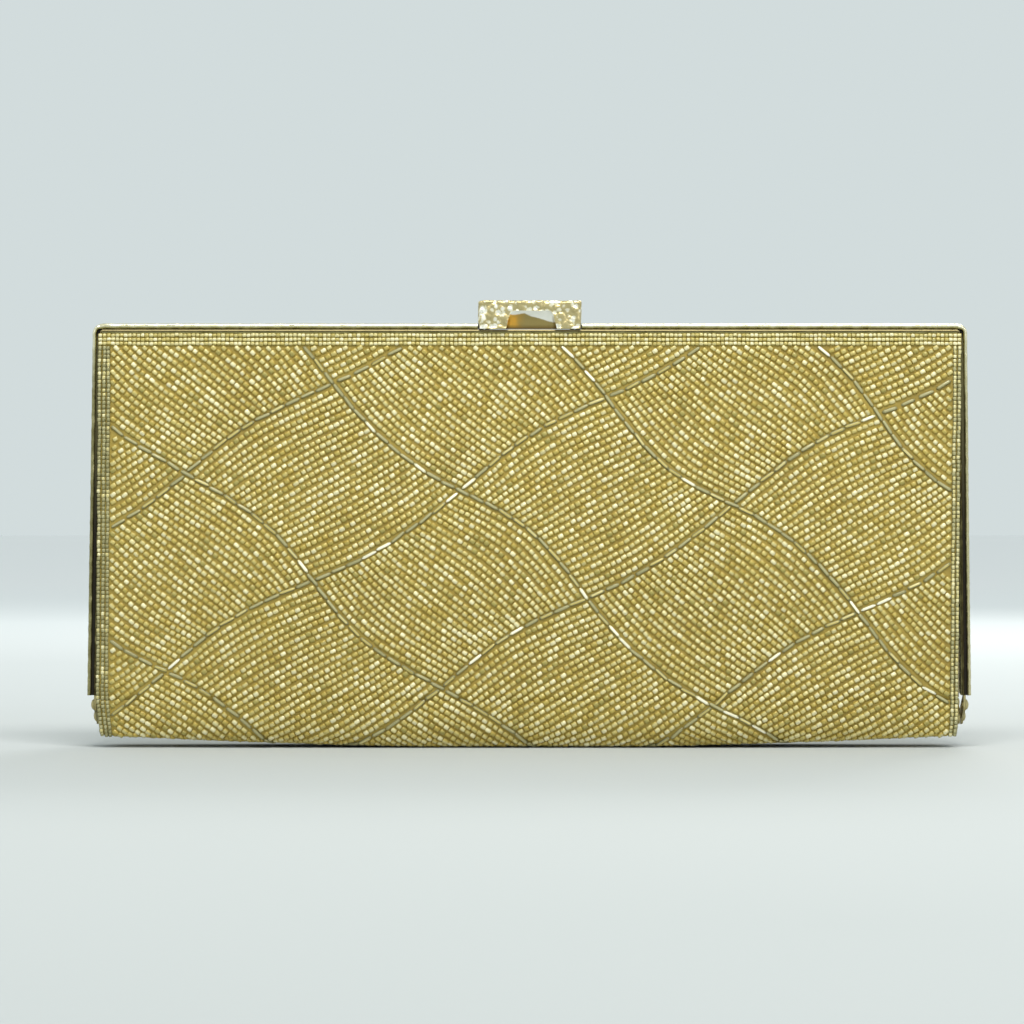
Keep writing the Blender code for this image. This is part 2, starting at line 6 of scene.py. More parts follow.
import bmesh
import bpy
import numpy as np
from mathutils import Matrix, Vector


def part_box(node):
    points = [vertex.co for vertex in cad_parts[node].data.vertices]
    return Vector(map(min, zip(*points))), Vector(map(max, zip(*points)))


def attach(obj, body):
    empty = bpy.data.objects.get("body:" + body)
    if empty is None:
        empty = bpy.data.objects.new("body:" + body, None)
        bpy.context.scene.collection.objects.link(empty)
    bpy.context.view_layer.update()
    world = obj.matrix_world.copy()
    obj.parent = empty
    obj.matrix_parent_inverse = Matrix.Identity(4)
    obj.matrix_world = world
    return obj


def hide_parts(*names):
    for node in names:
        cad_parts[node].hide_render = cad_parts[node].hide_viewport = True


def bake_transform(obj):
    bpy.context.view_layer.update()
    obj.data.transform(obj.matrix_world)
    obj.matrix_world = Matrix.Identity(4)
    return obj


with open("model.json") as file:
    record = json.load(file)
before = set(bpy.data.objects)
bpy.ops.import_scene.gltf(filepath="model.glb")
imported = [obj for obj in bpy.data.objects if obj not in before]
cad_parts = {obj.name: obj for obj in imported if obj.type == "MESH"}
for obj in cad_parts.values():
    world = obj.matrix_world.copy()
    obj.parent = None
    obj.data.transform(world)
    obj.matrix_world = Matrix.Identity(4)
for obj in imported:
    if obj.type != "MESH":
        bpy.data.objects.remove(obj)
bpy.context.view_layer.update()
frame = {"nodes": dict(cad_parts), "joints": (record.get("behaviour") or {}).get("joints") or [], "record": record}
MM = 0.001
chance = np.random.default_rng(11)

REAR = "rear_half"
FRONT = "front_half"
LEVER = "clasp_lever"

# Places and sizes that come from the CAD frame
panel_low, panel_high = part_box("front_beaded_panel")
frame_low, frame_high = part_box("front_frame")
fold_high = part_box("base_fold")[1]
bar_low, bar_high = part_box("clasp_bar")
joints = {joint["name"]: joint for joint in frame["joints"]}
hinge_z = joints["frame_opening"]["pos_m"][2]
clasp_y = joints["clasp_lift"]["pos_m"][1]
clasp_z = joints["clasp_lift"]["pos_m"][2]

HALF_WIDTH = panel_high.x
PANEL_TOP = panel_high.z
SEAM = fold_high.z
EDGE_DEPTH = -frame_low.y
BELLY = -panel_low.y - EDGE_DEPTH
BELLY_HEIGHT = 45.0 * MM
BASE_HALF_FLAT = 8.5 * MM
BASE_LEVEL_HALF = 30.0 * MM
BASE_END_RISE = 3.0 * MM
BASE_HALF_LENGTH = fold_high.x
BASE_TAPER = 0.7 * MM

# Beadwork, measured on the flat cloth
BEAD_RADIUS = 0.80 * MM
BEAD_LENGTH = 1.62 * MM
ROW_STEP = 1.88 * MM
BUGLE_RADIUS = 0.52 * MM
BUGLE_LENGTH = 4.4 * MM
BORDER_RADIUS = 0.58 * MM
BORDER_LENGTH = 1.14 * MM
BORDER_STEP = 1.18 * MM
CLOTH_DEPTH = 0.62 * MM
BORDER_TOP = PANEL_TOP + 0.95 * MM
TOP_ROWS = 3
LEFT_COLUMNS = 3
RIGHT_COLUMNS = 2
FIELD_TOP = BORDER_TOP - TOP_ROWS * BORDER_STEP - 0.15 * MM
FIELD_LEFT = HALF_WIDTH - LEFT_COLUMNS * BORDER_STEP - 0.15 * MM
FIELD_RIGHT = HALF_WIDTH - RIGHT_COLUMNS * BORDER_STEP - 0.15 * MM
SPREAD_TOP = 0.85 * MM
SPREAD_LOW_LEFT = 1.5 * MM
SPREAD_LOW_RIGHT = 0.0 * MM

# Depths of the thin layers below the beaded surface, outer face and inner face
CLOTH_FACES = (CLOTH_DEPTH, CLOTH_DEPTH + 0.5 * MM)
LINING_FACES = (3.55 * MM, 3.95 * MM)
NEAR_BEADS = 1.6 * MM

# Diamond lattice of long beads: one node and the two steps between nodes
NODE = np.array([21.0, 97.6]) * MM
STEP_DOWN = np.array([35.3, -30.0]) * MM
STEP_UP = np.array([40.6, 25.5]) * MM
SWAY_DOWN = 3.4 * MM
SWAY_UP = 2.3 * MM


# ---------------- small helpers


def unit(v):
    return v / np.maximum(np.linalg.norm(v, axis=-1, keepdims=True), 1e-12)


def smooth_step(value):
    value = np.clip(value, 0.0, 1.0)
    return value * value * (3.0 - 2.0 * value)


def mesh_object(name, points, quads, looks, look_index=None):
    points = np.asarray(points, np.float32).reshape(-1, 3)
    quads = np.asarray(quads, np.int32).reshape(-1, 4)
    mesh = bpy.data.meshes.new(name)
    mesh.vertices.add(len(points))
    mesh.vertices.foreach_set("co", points.ravel())
    mesh.loops.add(quads.size)
    mesh.loops.foreach_set("vertex_index", quads.ravel())
    mesh.polygons.add(len(quads))
    mesh.polygons.foreach_set("loop_start", np.arange(0, quads.size, 4, dtype=np.int32))
    mesh.polygons.foreach_set("use_smooth", np.full(len(quads), True))
    if look_index is not None:
        mesh.polygons.foreach_set("material_index", np.asarray(look_index, np.int32))
    mesh.update(calc_edges=True)
    for look in looks:
        mesh.materials.append(look)
    piece = bpy.data.objects.new(name, mesh)
    bpy.context.scene.collection.objects.link(piece)
    return piece


def grid_quads(rows, columns, closed=False):
    """Quads of a grid of points in row order; closed joins the last column to the first."""
    r = np.arange(rows - 1)[:, None] * columns
    c = np.arange(columns if closed else columns - 1)[None, :]
    after = (c + 1) % columns
    corners = (r + c, r + after, r + columns + after, r + columns + c)
    return np.stack([corner.ravel() for corner in corners], axis=1)


def sheet_object(name, outer, inner, look):
    """A closed thin sheet from two grids of points of the same shape."""
    rows, columns = outer.shape[:2]
    count = rows * columns
    points = np.concatenate([outer.reshape(-1, 3), inner.reshape(-1, 3)])
    face = grid_quads(rows, columns)
    quads = [face, face[:, ::-1] + count]
    index = np.arange(count).reshape(rows, columns)
    for edge in (index[0], index[-1][::-1], index[:, 0][::-1], index[:, -1]):
        quads.append(np.stack([edge[1:], edge[:-1], edge[:-1] + count, edge[1:] + count], axis=1))
    return outward(mesh_object(name, points, np.concatenate(quads), [look]))


def outward(piece, fill=False):
    """Turns the faces outwards; fill closes the open ends of a swept tube first."""
    work = bmesh.new()
    work.from_mesh(piece.data)
    if fill:
        bmesh.ops.holes_fill(work, edges=[edge for edge in work.edges if edge.is_boundary])
    bmesh.ops.recalc_face_normals(work, faces=work.faces)
    if work.calc_volume(signed=True) < 0.0:
        bmesh.ops.reverse_faces(work, faces=work.faces)
    work.to_mesh(piece.data)
    work.free()
    return piece


def ripple(along, lengths, seed, height=1.0):
    """Smooth uneven waves along a line, from a few wavelengths."""
    dice = np.random.default_rng(seed)
    total = np.zeros_like(along)
    for length in lengths:
        shift = dice.uniform(0.0, 2.0 * math.pi)
        total = total + np.sin(2.0 * math.pi * along / length + shift)
    return height * total / len(lengths)


# ---------------- materials


class Nodes:
    """A material's node tree, with short calls for adding and linking nodes."""

    def __init__(self, name, seen=(0.8, 0.8, 0.8)):
        self.material = bpy.data.materials.new(name)
        self.material.use_nodes = True
        self.material.diffuse_color = (*seen, 1.0)
        self.tree = self.material.node_tree
        self.shader = self.tree.nodes["Principled BSDF"]

    def add(self, kind, **values):
        node = self.tree.nodes.new(kind)
        for key, value in values.items():
            if hasattr(node, key):
                setattr(node, key, value)
            else:
                self.feed(node.inputs[key.replace("_", " ")], value)
        return node

    def feed(self, socket, value):
        """Links another node's output to a socket, or sets the socket to a constant."""
        if isinstance(value, bpy.types.NodeSocket):
            self.tree.links.new(value, socket)
        else:
            socket.default_value = value

    def set(self, **values):
        for key, value in values.items():
            self.feed(self.shader.inputs[key.replace("_", " ")], value)

    def place(self):
        return self.add("ShaderNodeTexCoord").outputs["Object"]

    def parts(self, vector):
        node = self.add("ShaderNodeSeparateXYZ", Vector=vector)
        return node.outputs[0], node.outputs[1], node.outputs[2]

    def noise(self, place, scale, detail):
        return self.add("ShaderNodeTexNoise", Vector=place, Scale=scale, Detail=detail).outputs["Fac"]

    def math(self, operation, *values):
        node = self.add("ShaderNodeMath", operation=operation)
        for socket, value in zip(node.inputs, values):
            self.feed(socket, value)
        return node.outputs[0]

    def span(self, source, low, high, to_low=0.0, to_high=1.0):
        """Carries a value from one range to another, and holds it at the ends."""
        node = self.add("ShaderNodeMapRange", Value=source, From_Min=low, From_Max=high)
        self.feed(node.inputs["To Min"], to_low)
        self.feed(node.inputs["To Max"], to_high)
        return node.outputs[0]

    def mix(self, share, first, second):
        node = self.add("ShaderNodeMix", data_type="RGBA")
        for index, value in ((0, share), (6, first), (7, second)):
            self.feed(node.inputs[index], value)
        return node.outputs[2]

    def ramp(self, source, stops):
        node = self.add("ShaderNodeValToRGB")
        stops = list(stops)
        while len(node.color_ramp.elements) < len(stops):
            node.color_ramp.elements.new(0.5)
        for element, (place, colour) in zip(node.color_ramp.elements, stops):
            element.position = place
            element.color = (*colour, 1.0)
        self.feed(node.inputs[0], source)
        return node.outputs[0]

    def bump(self, height, strength, distance):
        node = self.add("ShaderNodeBump", Height=height, Strength=strength, Distance=distance)
        self.set(Normal=node.outputs["Normal"])


def bead_glass_and_highlight(name, *colour):
    """Glass with a metal-backed colour under a clear hard coat; the paler colours serve as painted highlight on
    the beads' cores.
    """
    look = Nodes(name, colour)
    look.set(Base_Color=(*colour, 1.0), Metallic=0.15, Roughness=0.4, Coat_Weight=0.3, Coat_Roughness=0.15)
    return look.material


def plated_metal(name, light, dark, roughness, dent, dent_size):
    """Plated metal with soft dents, faint wear and uneven polish."""
    look = Nodes(name, light)
    place = look.place()
    wear = look.noise(place, 260.0, 5.0)
    colour = look.ramp(wear, [(0.3, dark), (0.62, light)])
    polish = look.span(wear, 0.0, 1.0, roughness * 0.7, roughness * 1.5)
    look.bump(look.noise(place, 1.0 / dent_size, 1.0), 0.5, dent)
    look.set(Base_Color=colour, Roughness=polish, Metallic=1.0)
    return look.material


def rail_metal(name, pale, shaded_legs, change, polish, right_painted_light=0.0):
    """Plated metal: three darker colours low down for painted shade on the legs, a pale pair high up for painted
    light on the top, and paler legs on the right as painted light.
    """
    look = Nodes(name, pale[1])
    place = look.place()
    x, _, z = look.parts(place)
    blotch = look.noise(place, 420.0, 4.0)
    nick = look.noise(place, 300.0, 5.0)
    # Paler legs on the right: painted light.
    lit_right = look.math("MULTIPLY_ADD", look.math("GREATER_THAN", x, 0.0), right_painted_light, nick)
    top = look.ramp(blotch, zip((0.28, 0.64), pale))
    side = look.ramp(lit_right, zip((0.40, 0.60, 0.72), shaded_legs))
    look.bump(nick, 0.6, 0.0003)
    # Darker colours low on the legs and the pale pair on the top: painted shade and painted light by height.
    look.set(
        Base_Color=look.mix(look.span(z, *change), side, top),
        Roughness=look.span(blotch, 0.0, 1.0, 0.6 * polish, 1.4 * polish),
        Metallic=1.0,
    )
    return look.material


def groove_painted_shade():
    """The groove's painted shade: nearly black along the top and low on the legs, olive high on the legs."""
    black = (0.02, 0.014, 0.005)
    olive = (0.17, 0.15, 0.06)
    look = Nodes("groove painted shade", black)
    height = look.math("MULTIPLY", look.parts(look.place())[2], 1.0 / (119.0 * MM))
    stops = [(0.50, black), (0.86, olive), (0.955, olive), (0.975, black)]
    look.set(Base_Color=look.ramp(height, stops), Metallic=0.3, Roughness=0.6)
    return look.material


def woven_cloth(name, light, dark, thread, roughness, sheen):
    """Cloth with crossed threads and a slow change of shade."""
    look = Nodes(name, light)
    place = look.place()
    threads = []
    for across in ("X", "Z"):
        wave = look.add("ShaderNodeTexWave", bands_direction=across, Scale=0.5 / thread, Distortion=0.6)
        look.feed(wave.inputs["Vector"], place)
        threads.append(wave.outputs["Fac"])
    look.bump(look.math("ADD", *threads), 0.35, thread * 0.5)
    colour = look.ramp(look.noise(place, 60.0, 4.0), [(0.35, dark), (0.65, light)])
    look.set(Base_Color=colour, Roughness=roughness, Sheen_Weight=sheen, Sheen_Roughness=0.35)
    return look.material


# Bead colours, from amber glass up to cream for painted highlight, and the beads made of them as (share, painted
# highlight, edge of the painted highlight, glass)
AMBER = bead_glass_and_highlight("bead amber", 0.41, 0.295, 0.048)
OLIVE = bead_glass_and_highlight("bead olive", 0.36, 0.30, 0.075)
HONEY = bead_glass_and_highlight("bead honey", 0.46, 0.36, 0.08)
DIM = bead_glass_and_highlight("bead dim gold", 0.52, 0.43, 0.135)
STRAW = bead_glass_and_highlight("bead straw", 0.60, 0.52, 0.215)
PALE = bead_glass_and_highlight("bead pale gold", 0.67, 0.60, 0.30)
BRIGHT = bead_glass_and_highlight("bead cream", 0.76, 0.70, 0.42)
PAINTED_GLINT = bead_glass_and_highlight("bead painted glint", 0.97, 0.93, 0.74)
MOSS = bead_glass_and_highlight("border olive", 0.225, 0.20, 0.075)
SAGE = bead_glass_and_highlight("border sage", 0.29, 0.265, 0.115)
SAND = bead_glass_and_highlight("border sand", 0.39, 0.36, 0.175)
FIELD_BEADS = [
    (0.05, OLIVE, OLIVE, AMBER),
    (0.12, HONEY, AMBER, AMBER),
    (0.20, DIM, HONEY, AMBER),
    (0.25, STRAW, HONEY, AMBER),
    (0.23, PALE, DIM, AMBER),
    (0.15, BRIGHT, STRAW, AMBER),
]
TOP_BEADS = [
    (0.18, DIM, HONEY, OLIVE),
    (0.27, STRAW, DIM, OLIVE),
    (0.33, PALE, STRAW, OLIVE),
    (0.22, BRIGHT, PALE, HONEY),
]
# The left border's beads are darker and the right's paler: painted shade on the left and painted light on the
# right.
SHADED_LEFT_BEADS = [
    (0.52, SAGE, MOSS, MOSS),
    (0.36, SAND, SAGE, MOSS),
    (0.09, STRAW, SAND, SAGE),
    (0.03, BRIGHT, STRAW, SAGE),
]
LIT_RIGHT_BEADS = [
    (0.42, SAND, SAGE, MOSS),
    (0.34, STRAW, SAGE, MOSS),
    (0.18, PALE, SAND, SAGE),
    (0.06, BRIGHT, STRAW, SAGE),
]
LONG_BEADS = [
    (0.56, SAND, SAGE, MOSS),
    (0.20, DIM, SAGE, MOSS),
    (0.14, STRAW, SAGE, MOSS),
    # A tenth of the long beads carry a near-white painted glint.
    (0.10, PAINTED_GLINT, BRIGHT, SAGE),
]
# Heights over which the legs' painted shade gives way to the top's painted light.
LEG_SHADE_CHANGE = (98.0 * MM, 117.0 * MM)
RIB_SHADE_CHANGE = (108.0 * MM, 116.0 * MM)
frame_gold = rail_metal(
    "frame gold",
    ((0.76, 0.69, 0.42), (0.93, 0.87, 0.64)),
    ((0.26, 0.23, 0.10), (0.38, 0.34, 0.16), (0.62, 0.55, 0.31)),
    LEG_SHADE_CHANGE,
    polish=0.26,
    right_painted_light=0.4,
)
ridge_shade = rail_metal(
    "ridge shade",
    ((0.26, 0.22, 0.06), (0.50, 0.45, 0.20)),
    ((0.12, 0.10, 0.04), (0.24, 0.21, 0.09), (0.60, 0.52, 0.28)),
    LEG_SHADE_CHANGE,
    polish=0.3,
)
# The rib's dark olive gold is painted shade.
rib_gold = rail_metal(
    "rib gold",
    ((0.18, 0.145, 0.065), (0.31, 0.26, 0.135)),
    ((0.09, 0.07, 0.03), (0.17, 0.145, 0.06), (0.36, 0.31, 0.15)),
    RIB_SHADE_CHANGE,
    polish=0.5,
)
groove_dark = groove_painted_shade()
hinge_gold = plated_metal("hinge gold", (0.58, 0.49, 0.24), (0.34, 0.28, 0.12), 0.3, 0.0001, 0.002)
steel = plated_metal("plated steel", (0.62, 0.60, 0.56), (0.46, 0.44, 0.41), 0.32, 0.00005, 0.002)
ground_cloth = woven_cloth("ground cloth", (0.39, 0.28, 0.046), (0.32, 0.225, 0.036), 0.0004, 0.6, 0.0)
satin = woven_cloth("champagne satin", (0.74, 0.61, 0.38), (0.66, 0.53, 0.31), 0.00022, 0.34, 0.6)
card = woven_cloth("pressed card", (0.58, 0.52, 0.42), (0.50, 0.44, 0.34), 0.0009, 0.9, 0.0)


# ---------------- the bag's surface


def belly(x, z):
    """How deep the beaded surface lies in front of the middle plane."""
    across = np.maximum(0.0, 1.0 - (np.abs(x) / HALF_WIDTH) ** 4)
    down = smooth_step((PANEL_TOP - z) / (PANEL_TOP - BELLY_HEIGHT))
    return EDGE_DEPTH + BELLY * across * down


def base_rise(x):
    beyond = np.maximum(0.0, np.abs(x) - BASE_LEVEL_HALF) / (HALF_WIDTH - BASE_LEVEL_HALF)
    return BASE_END_RISE * beyond**1.4


ARC = np.linspace(0.0, math.pi / 2.0, 25)


def base_arc(x, depth=0.0):
    """Half the base's cross-section at each x, from the seam to the middle of the flat."""
    x = np.asarray(x, float)[..., None]
    middle = belly(x, SEAM) - depth
    flat = np.minimum(BASE_HALF_FLAT - 0.55 * depth, middle - 0.4 * MM)
    bottom = base_rise(x) + depth
    y = flat + (middle - flat) * np.cos(ARC)
    z = bottom + (SEAM - bottom) * (1.0 - np.sin(ARC))
    y = np.concatenate([y, np.zeros_like(x)], axis=-1)
    z = np.concatenate([z, bottom], axis=-1)
    step = np.hypot(np.diff(y, axis=-1), np.diff(z, axis=-1))
    run = np.concatenate([np.zeros_like(x), np.cumsum(step, axis=-1)], axis=-1)
    return y, z, run


def spread(x, t):
    """How much wider the cloth is than the panel: it follows the frame's legs, further out on the left."""
    down = np.clip((PANEL_TOP - t) / (PANEL_TOP - SEAM), 0.0, 1.0)
    low = np.where(x < 0.0, SPREAD_LOW_LEFT, SPREAD_LOW_RIGHT)
    out = SPREAD_TOP + (low - SPREAD_TOP) * down
    return out * (1.0 - 0.45 * smooth_step((SEAM + 4.0 * MM - t) / (14.0 * MM)))


def cloth_point(x, t):
    """Where a point of the flat cloth lies on the front half; t is height, or length round the base."""
    x = np.asarray(x, float)
    t = np.asarray(t, float)
    x = x * (1.0 + spread(x, t) / HALF_WIDTH)
    y, z, run = base_arc(x)
    along = np.clip(SEAM - t, 0.0, run[..., -1])
    low = np.clip((run <= along[..., None]).sum(-1) - 1, 0, run.shape[-1] - 2)[..., None]

    def pick(values, index):
        return np.take_along_axis(values, index, axis=-1)[..., 0]

    share = (along - pick(run, low)) / np.maximum(pick(run, low + 1) - pick(run, low), 1e-9)
    base_y = pick(y, low) + share * (pick(y, low + 1) - pick(y, low))
    base_z = pick(z, low) + share * (pick(z, low + 1) - pick(z, low))
    above = t >= SEAM
    depth = np.where(above, belly(x, t), base_y)
    height = np.where(above, t, base_z)
    down = np.clip((SEAM - height) / SEAM, 0.0, 1.0)
    pull = BASE_TAPER * down**2 * np.abs(x / BASE_HALF_LENGTH) ** 12
    return np.stack([x - np.sign(x) * pull, -depth, height], axis=-1)


def cloth_length(x):
    """Length of cloth from the seam to the middle of the base."""
    return base_arc(x)[2][..., -1]


def cloth_frame(x, t, dx, dt):
    """Position, direction along (dx, dt), and outward normal on the cloth."""
    small = 0.2 * MM
    here = cloth_point(x, t)
    across = (cloth_point(x + small, t) - cloth_point(x - small, t)) / (2.0 * small)
    upward = (cloth_point(x, t + small) - cloth_point(x, t - small)) / (2.0 * small)
    along = unit(across * dx[..., None] + upward * dt[..., None])
    normal = unit(np.cross(across, upward))
    return here, along, normal


# ---------------- beads


def lattice_point(a, b):
    """The warped diamond lattice: whole numbers of a or b are the lines of long beads."""
    a, b = (np.array(part, float)[..., None] for part in np.broadcast_arrays(a, b))
    side_down = np.array([-STEP_DOWN[1], STEP_DOWN[0]]) / np.linalg.norm(STEP_DOWN)
    side_up = np.array([-STEP_UP[1], STEP_UP[0]]) / np.linalg.norm(STEP_UP)
    place = NODE + a * STEP_DOWN + b * STEP_UP
    place = place - SWAY_DOWN * np.sin(math.pi * a) * np.cos(math.pi * b) * side_down
    place = place - SWAY_UP * np.cos(math.pi * a) * np.sin(math.pi * b) * side_up
    x = place[..., 0]
    t = place[..., 1]
    wander_x = 0.35 * MM * np.sin(75.0 * x + 110.0 * t + 1.3)
    wander_t = 0.35 * MM * np.sin(105.0 * x - 80.0 * t + 0.4)
    return np.stack([x + wander_x, t + wander_t], axis=-1)


def beads_on_line(line, size, first_gap, last_gap):
    """Middles and directions of beads that fill a line on the flat cloth, with a gap at each end."""
    pieces = np.linalg.norm(np.diff(line, axis=0), axis=1)
    run = np.concatenate([[0.0], np.cumsum(pieces)])
    room = run[-1] - first_gap - last_gap
    count = int(room / size)
    if count < 1:
        return np.zeros((0, 4))
    places = first_gap + room / count * (np.arange(count) + 0.5)
    x = np.interp(places, run, line[:, 0])
    t = np.interp(places, run, line[:, 1])
    near = 0.3 * MM
    dx = np.interp(places + near, run, line[:, 0]) - np.interp(places - near, run, line[:, 0])
    dt = np.interp(places + near, run, line[:, 1]) - np.interp(places - near, run, line[:, 1])
    return np.stack([x, t, dx, dt], axis=1)


def room_in_field(line):
    """How far each point of a line lies inside the borders of the field."""
    side = np.minimum(FIELD_LEFT + line[:, 0], FIELD_RIGHT - line[:, 0])
    top = FIELD_TOP - line[:, 1]
    low = line[:, 1] - SEAM + cloth_length(line[:, 0])
    return np.minimum(np.minimum(side, top), low)


def parts_in_field(line, border_gap, line_gap):
    """The stretches of a line inside the field, with the gap at each end: at the border or elsewhere."""
    room = room_in_field(line)
    inside = room > 0.0
    found = []
    index = 0
    while index < len(line):
        if not inside[index]:
            index += 1
            continue
        last = index
        while last + 1 < len(line) and inside[last + 1]:
            last += 1
        stretch = [line[i] for i in range(index, last + 1)]
        gaps = [line_gap, line_gap]
        if index > 0:
            share = room[index] / (room[index] - room[index - 1])
            stretch.insert(0, line[index] + share * (line[index - 1] - line[index]))
            gaps[0] = border_gap
        if last < len(line) - 1:
            share = room[last] / (room[last] - room[last + 1])
            stretch.append(line[last] + share * (line[last + 1] - line[last]))
            gaps[1] = border_gap
        if len(stretch) > 1:
            found.append((np.array(stretch), *gaps))
        index = last + 1
    return found


def unsteady(line, amount):
    """A sewn row is never quite straight: bends a row sideways by slow, small waves."""
    along = unit(np.gradient(line, axis=0))
    across = np.stack([-along[:, 1], along[:, 0]], axis=1)
    run = np.concatenate([[0.0], np.cumsum(np.linalg.norm(np.diff(line, axis=0), axis=1))])
    wave = chance.normal(0.0, 0.5) + np.sin(run / (4.5 * MM) + chance.uniform(0.0, 6.3)) * 0.6
    wave = wave + np.sin(run / (2.1 * MM) + chance.uniform(0.0, 6.3)) * 0.35
    return line + across * (amount * wave)[:, None]


def cell_rows(a0, b0):
    """The rows of one cell: evenly spaced between two of its sides, ending at the other two."""
    walk = np.linspace(0.0, 1.0, 81)
    down = [lattice_point(a0 + walk, b) for b in (b0, b0 + 1.0)]
    up = [lattice_point(a, b0 + walk) for a in (a0, a0 + 1.0)]
    if (a0 - b0) % 2:
        down, up = up, down
    first, last = down
    left, right = up
    along = unit(first[-1] - first[0])
    gap = last - first
    width = np.abs(gap[:, 0] * along[1] - gap[:, 1] * along[0]).mean()
    count = int(round(width / ROW_STEP))
    rows = []
    for row in range(1, count):
        share = row / count
        from_left = np.array([np.interp(share, walk, left[:, k]) for k in (0, 1)])
        from_right = np.array([np.interp(share, walk, right[:, k]) for k in (0, 1)])
        line = (1.0 - share) * first + share * last
        start = from_left - ((1.0 - share) * first[0] + share * last[0])
        stop = from_right - ((1.0 - share) * first[-1] + share * last[-1])
        rows.append(line + (1.0 - walk[:, None]) * start + walk[:, None] * stop)
    return rows


def field_beads():
    """The short beads, row by row: each cell's rows follow one pair of its sides."""
    found = []
    for a0 in range(-4, 6):
        for b0 in range(-7, 4):
            for line in cell_rows(a0, b0):
                if room_in_field(line).max() < 0.0:
                    continue
                line = unsteady(line, 0.1 * MM)
                for stretch, first_gap, last_gap in parts_in_field(line, 0.05 * MM, 0.8 * MM):
                    size = BEAD_LENGTH * chance.uniform(1.02, 1.07)
                    found.append(beads_on_line(stretch, size, first_gap, last_gap))
    return np.concatenate(found)


def lattice_bugles():
    """The long beads along the lattice lines; the lines that go up stop short of the others."""
    down = np.linspace(-5.0, 7.0, 900)
    up = np.linspace(0.0, 1.0, 81)
    lines = [(lattice_point(down, b), 0.1 * MM) for b in range(-7, 5)]
    lines += [(lattice_point(a, b + up), 0.7 * MM) for a in range(-4, 7) for b in range(-8, 5)]
    found = []
    for line, line_gap in lines:
        for stretch, first_gap, last_gap in parts_in_field(line, 0.1 * MM, line_gap):
            found.append(beads_on_line(stretch, BUGLE_LENGTH * 1.02, first_gap, last_gap))
    return np.concatenate(found)


def border_beads():
    """Straight rows of smaller beads along the top, then down the left and the right side."""
    size = BORDER_LENGTH * 1.03
    top_rows = []
    for row in range(TOP_ROWS):
        top = BORDER_TOP - (row + 0.5) * BORDER_STEP
        line = np.stack([np.linspace(-HALF_WIDTH, HALF_WIDTH, 300), np.full(300, top)], axis=1)
        top_rows.append(beads_on_line(unsteady(line, 0.07 * MM), size, 0.1 * MM, 0.1 * MM))
    sides = []
    high = BORDER_TOP - TOP_ROWS * BORDER_STEP
    for side, columns in ((-1.0, LEFT_COLUMNS), (1.0, RIGHT_COLUMNS)):
        rows = []
        for column in range(columns):
            edge = HALF_WIDTH - (column + 0.5) * BORDER_STEP
            low = SEAM - float(cloth_length(np.array(edge)))
            line = np.stack([np.full(300, side * edge), np.linspace(high, low, 300)], axis=1)
            rows.append(beads_on_line(unsteady(line, 0.07 * MM), size, 0.05 * MM, 0.1 * MM))
        sides.append(np.concatenate(rows))
    return np.concatenate(top_rows), sides[0], sides[1]


SPOKES = np.radians([-31.0, 31.0, 56.0, 100.0, 150.0, 210.0, 260.0, 304.0])
SIDES = len(SPOKES)
STATIONS = np.array([-1.0, -0.74, 0.74, 1.0])
GIRTH = np.array([0.72, 1.0, 1.0, 0.72])
# The outward face of each bead carries a painted highlight, its two neighbours a paler edge of it, the rest the
# glass colour.
PAINTED_HIGHLIGHT, HIGHLIGHT_EDGE, GLASS = 0, 1, 2


def bead_quads():
    """The faces of one bead: three bands along it, then its two flat ends."""
    rings = grid_quads(4, SIDES, closed=True)
    last = 3 * SIDES
    first_cap = [(0, 3, 2, 1), (0, 5, 4, 3), (0, 7, 6, 5)]
    last_cap = [(last, last + 1, last + 2, last + 3), (last, last + 3, last + 4, last + 5)]
    last_cap.append((last, last + 5, last + 6, last + 7))
    return np.concatenate([rings, np.array(first_cap), np.array(last_cap)])


def bead_parts(whole):
    """The part of each face: painted highlight, edge of the painted highlight or glass; whole means the painted
    highlight runs end to end.
    """
    band = np.full((3, SIDES), GLASS)
    # Painted highlight on the outward face and its edge on the neighbours; with whole it runs along the end bands
    # too.
    band[1, [0, 1, SIDES - 1]] = [PAINTED_HIGHLIGHT, HIGHLIGHT_EDGE, HIGHLIGHT_EDGE]
    band[[0, 2], 0] = PAINTED_HIGHLIGHT if whole else HIGHLIGHT_EDGE
    return np.concatenate([band.ravel(), np.full(6, GLASS)])


def bead_looks(kinds, x, t):
    """The looks of a set of beads and the look number of every face, with slow patches of duller and brighter
    painted highlight.
    """
    looks = []
    table = []
    for whole in (False, True):
        for share, *glass in kinds:
            looks += [look for look in glass if look not in looks]
            numbers = np.array([looks.index(look) for look in glass])
            table.append(numbers[bead_parts(whole)])
    # Slow patches where the painted highlights run duller or brighter.
    dice = chance.random(len(x)) + 0.09 * np.sin(210.0 * x + 90.0 * t) * np.sin(260.0 * t - 120.0 * x + 0.8)
    shares = np.cumsum([share for share, *glass in kinds])
    kind = np.searchsorted(shares[:-1], np.clip(dice, 0.0, 0.999) * shares[-1])
    whole = chance.random(len(x)) < 0.5
    return looks, np.array(table)[kind + len(kinds) * whole].ravel()


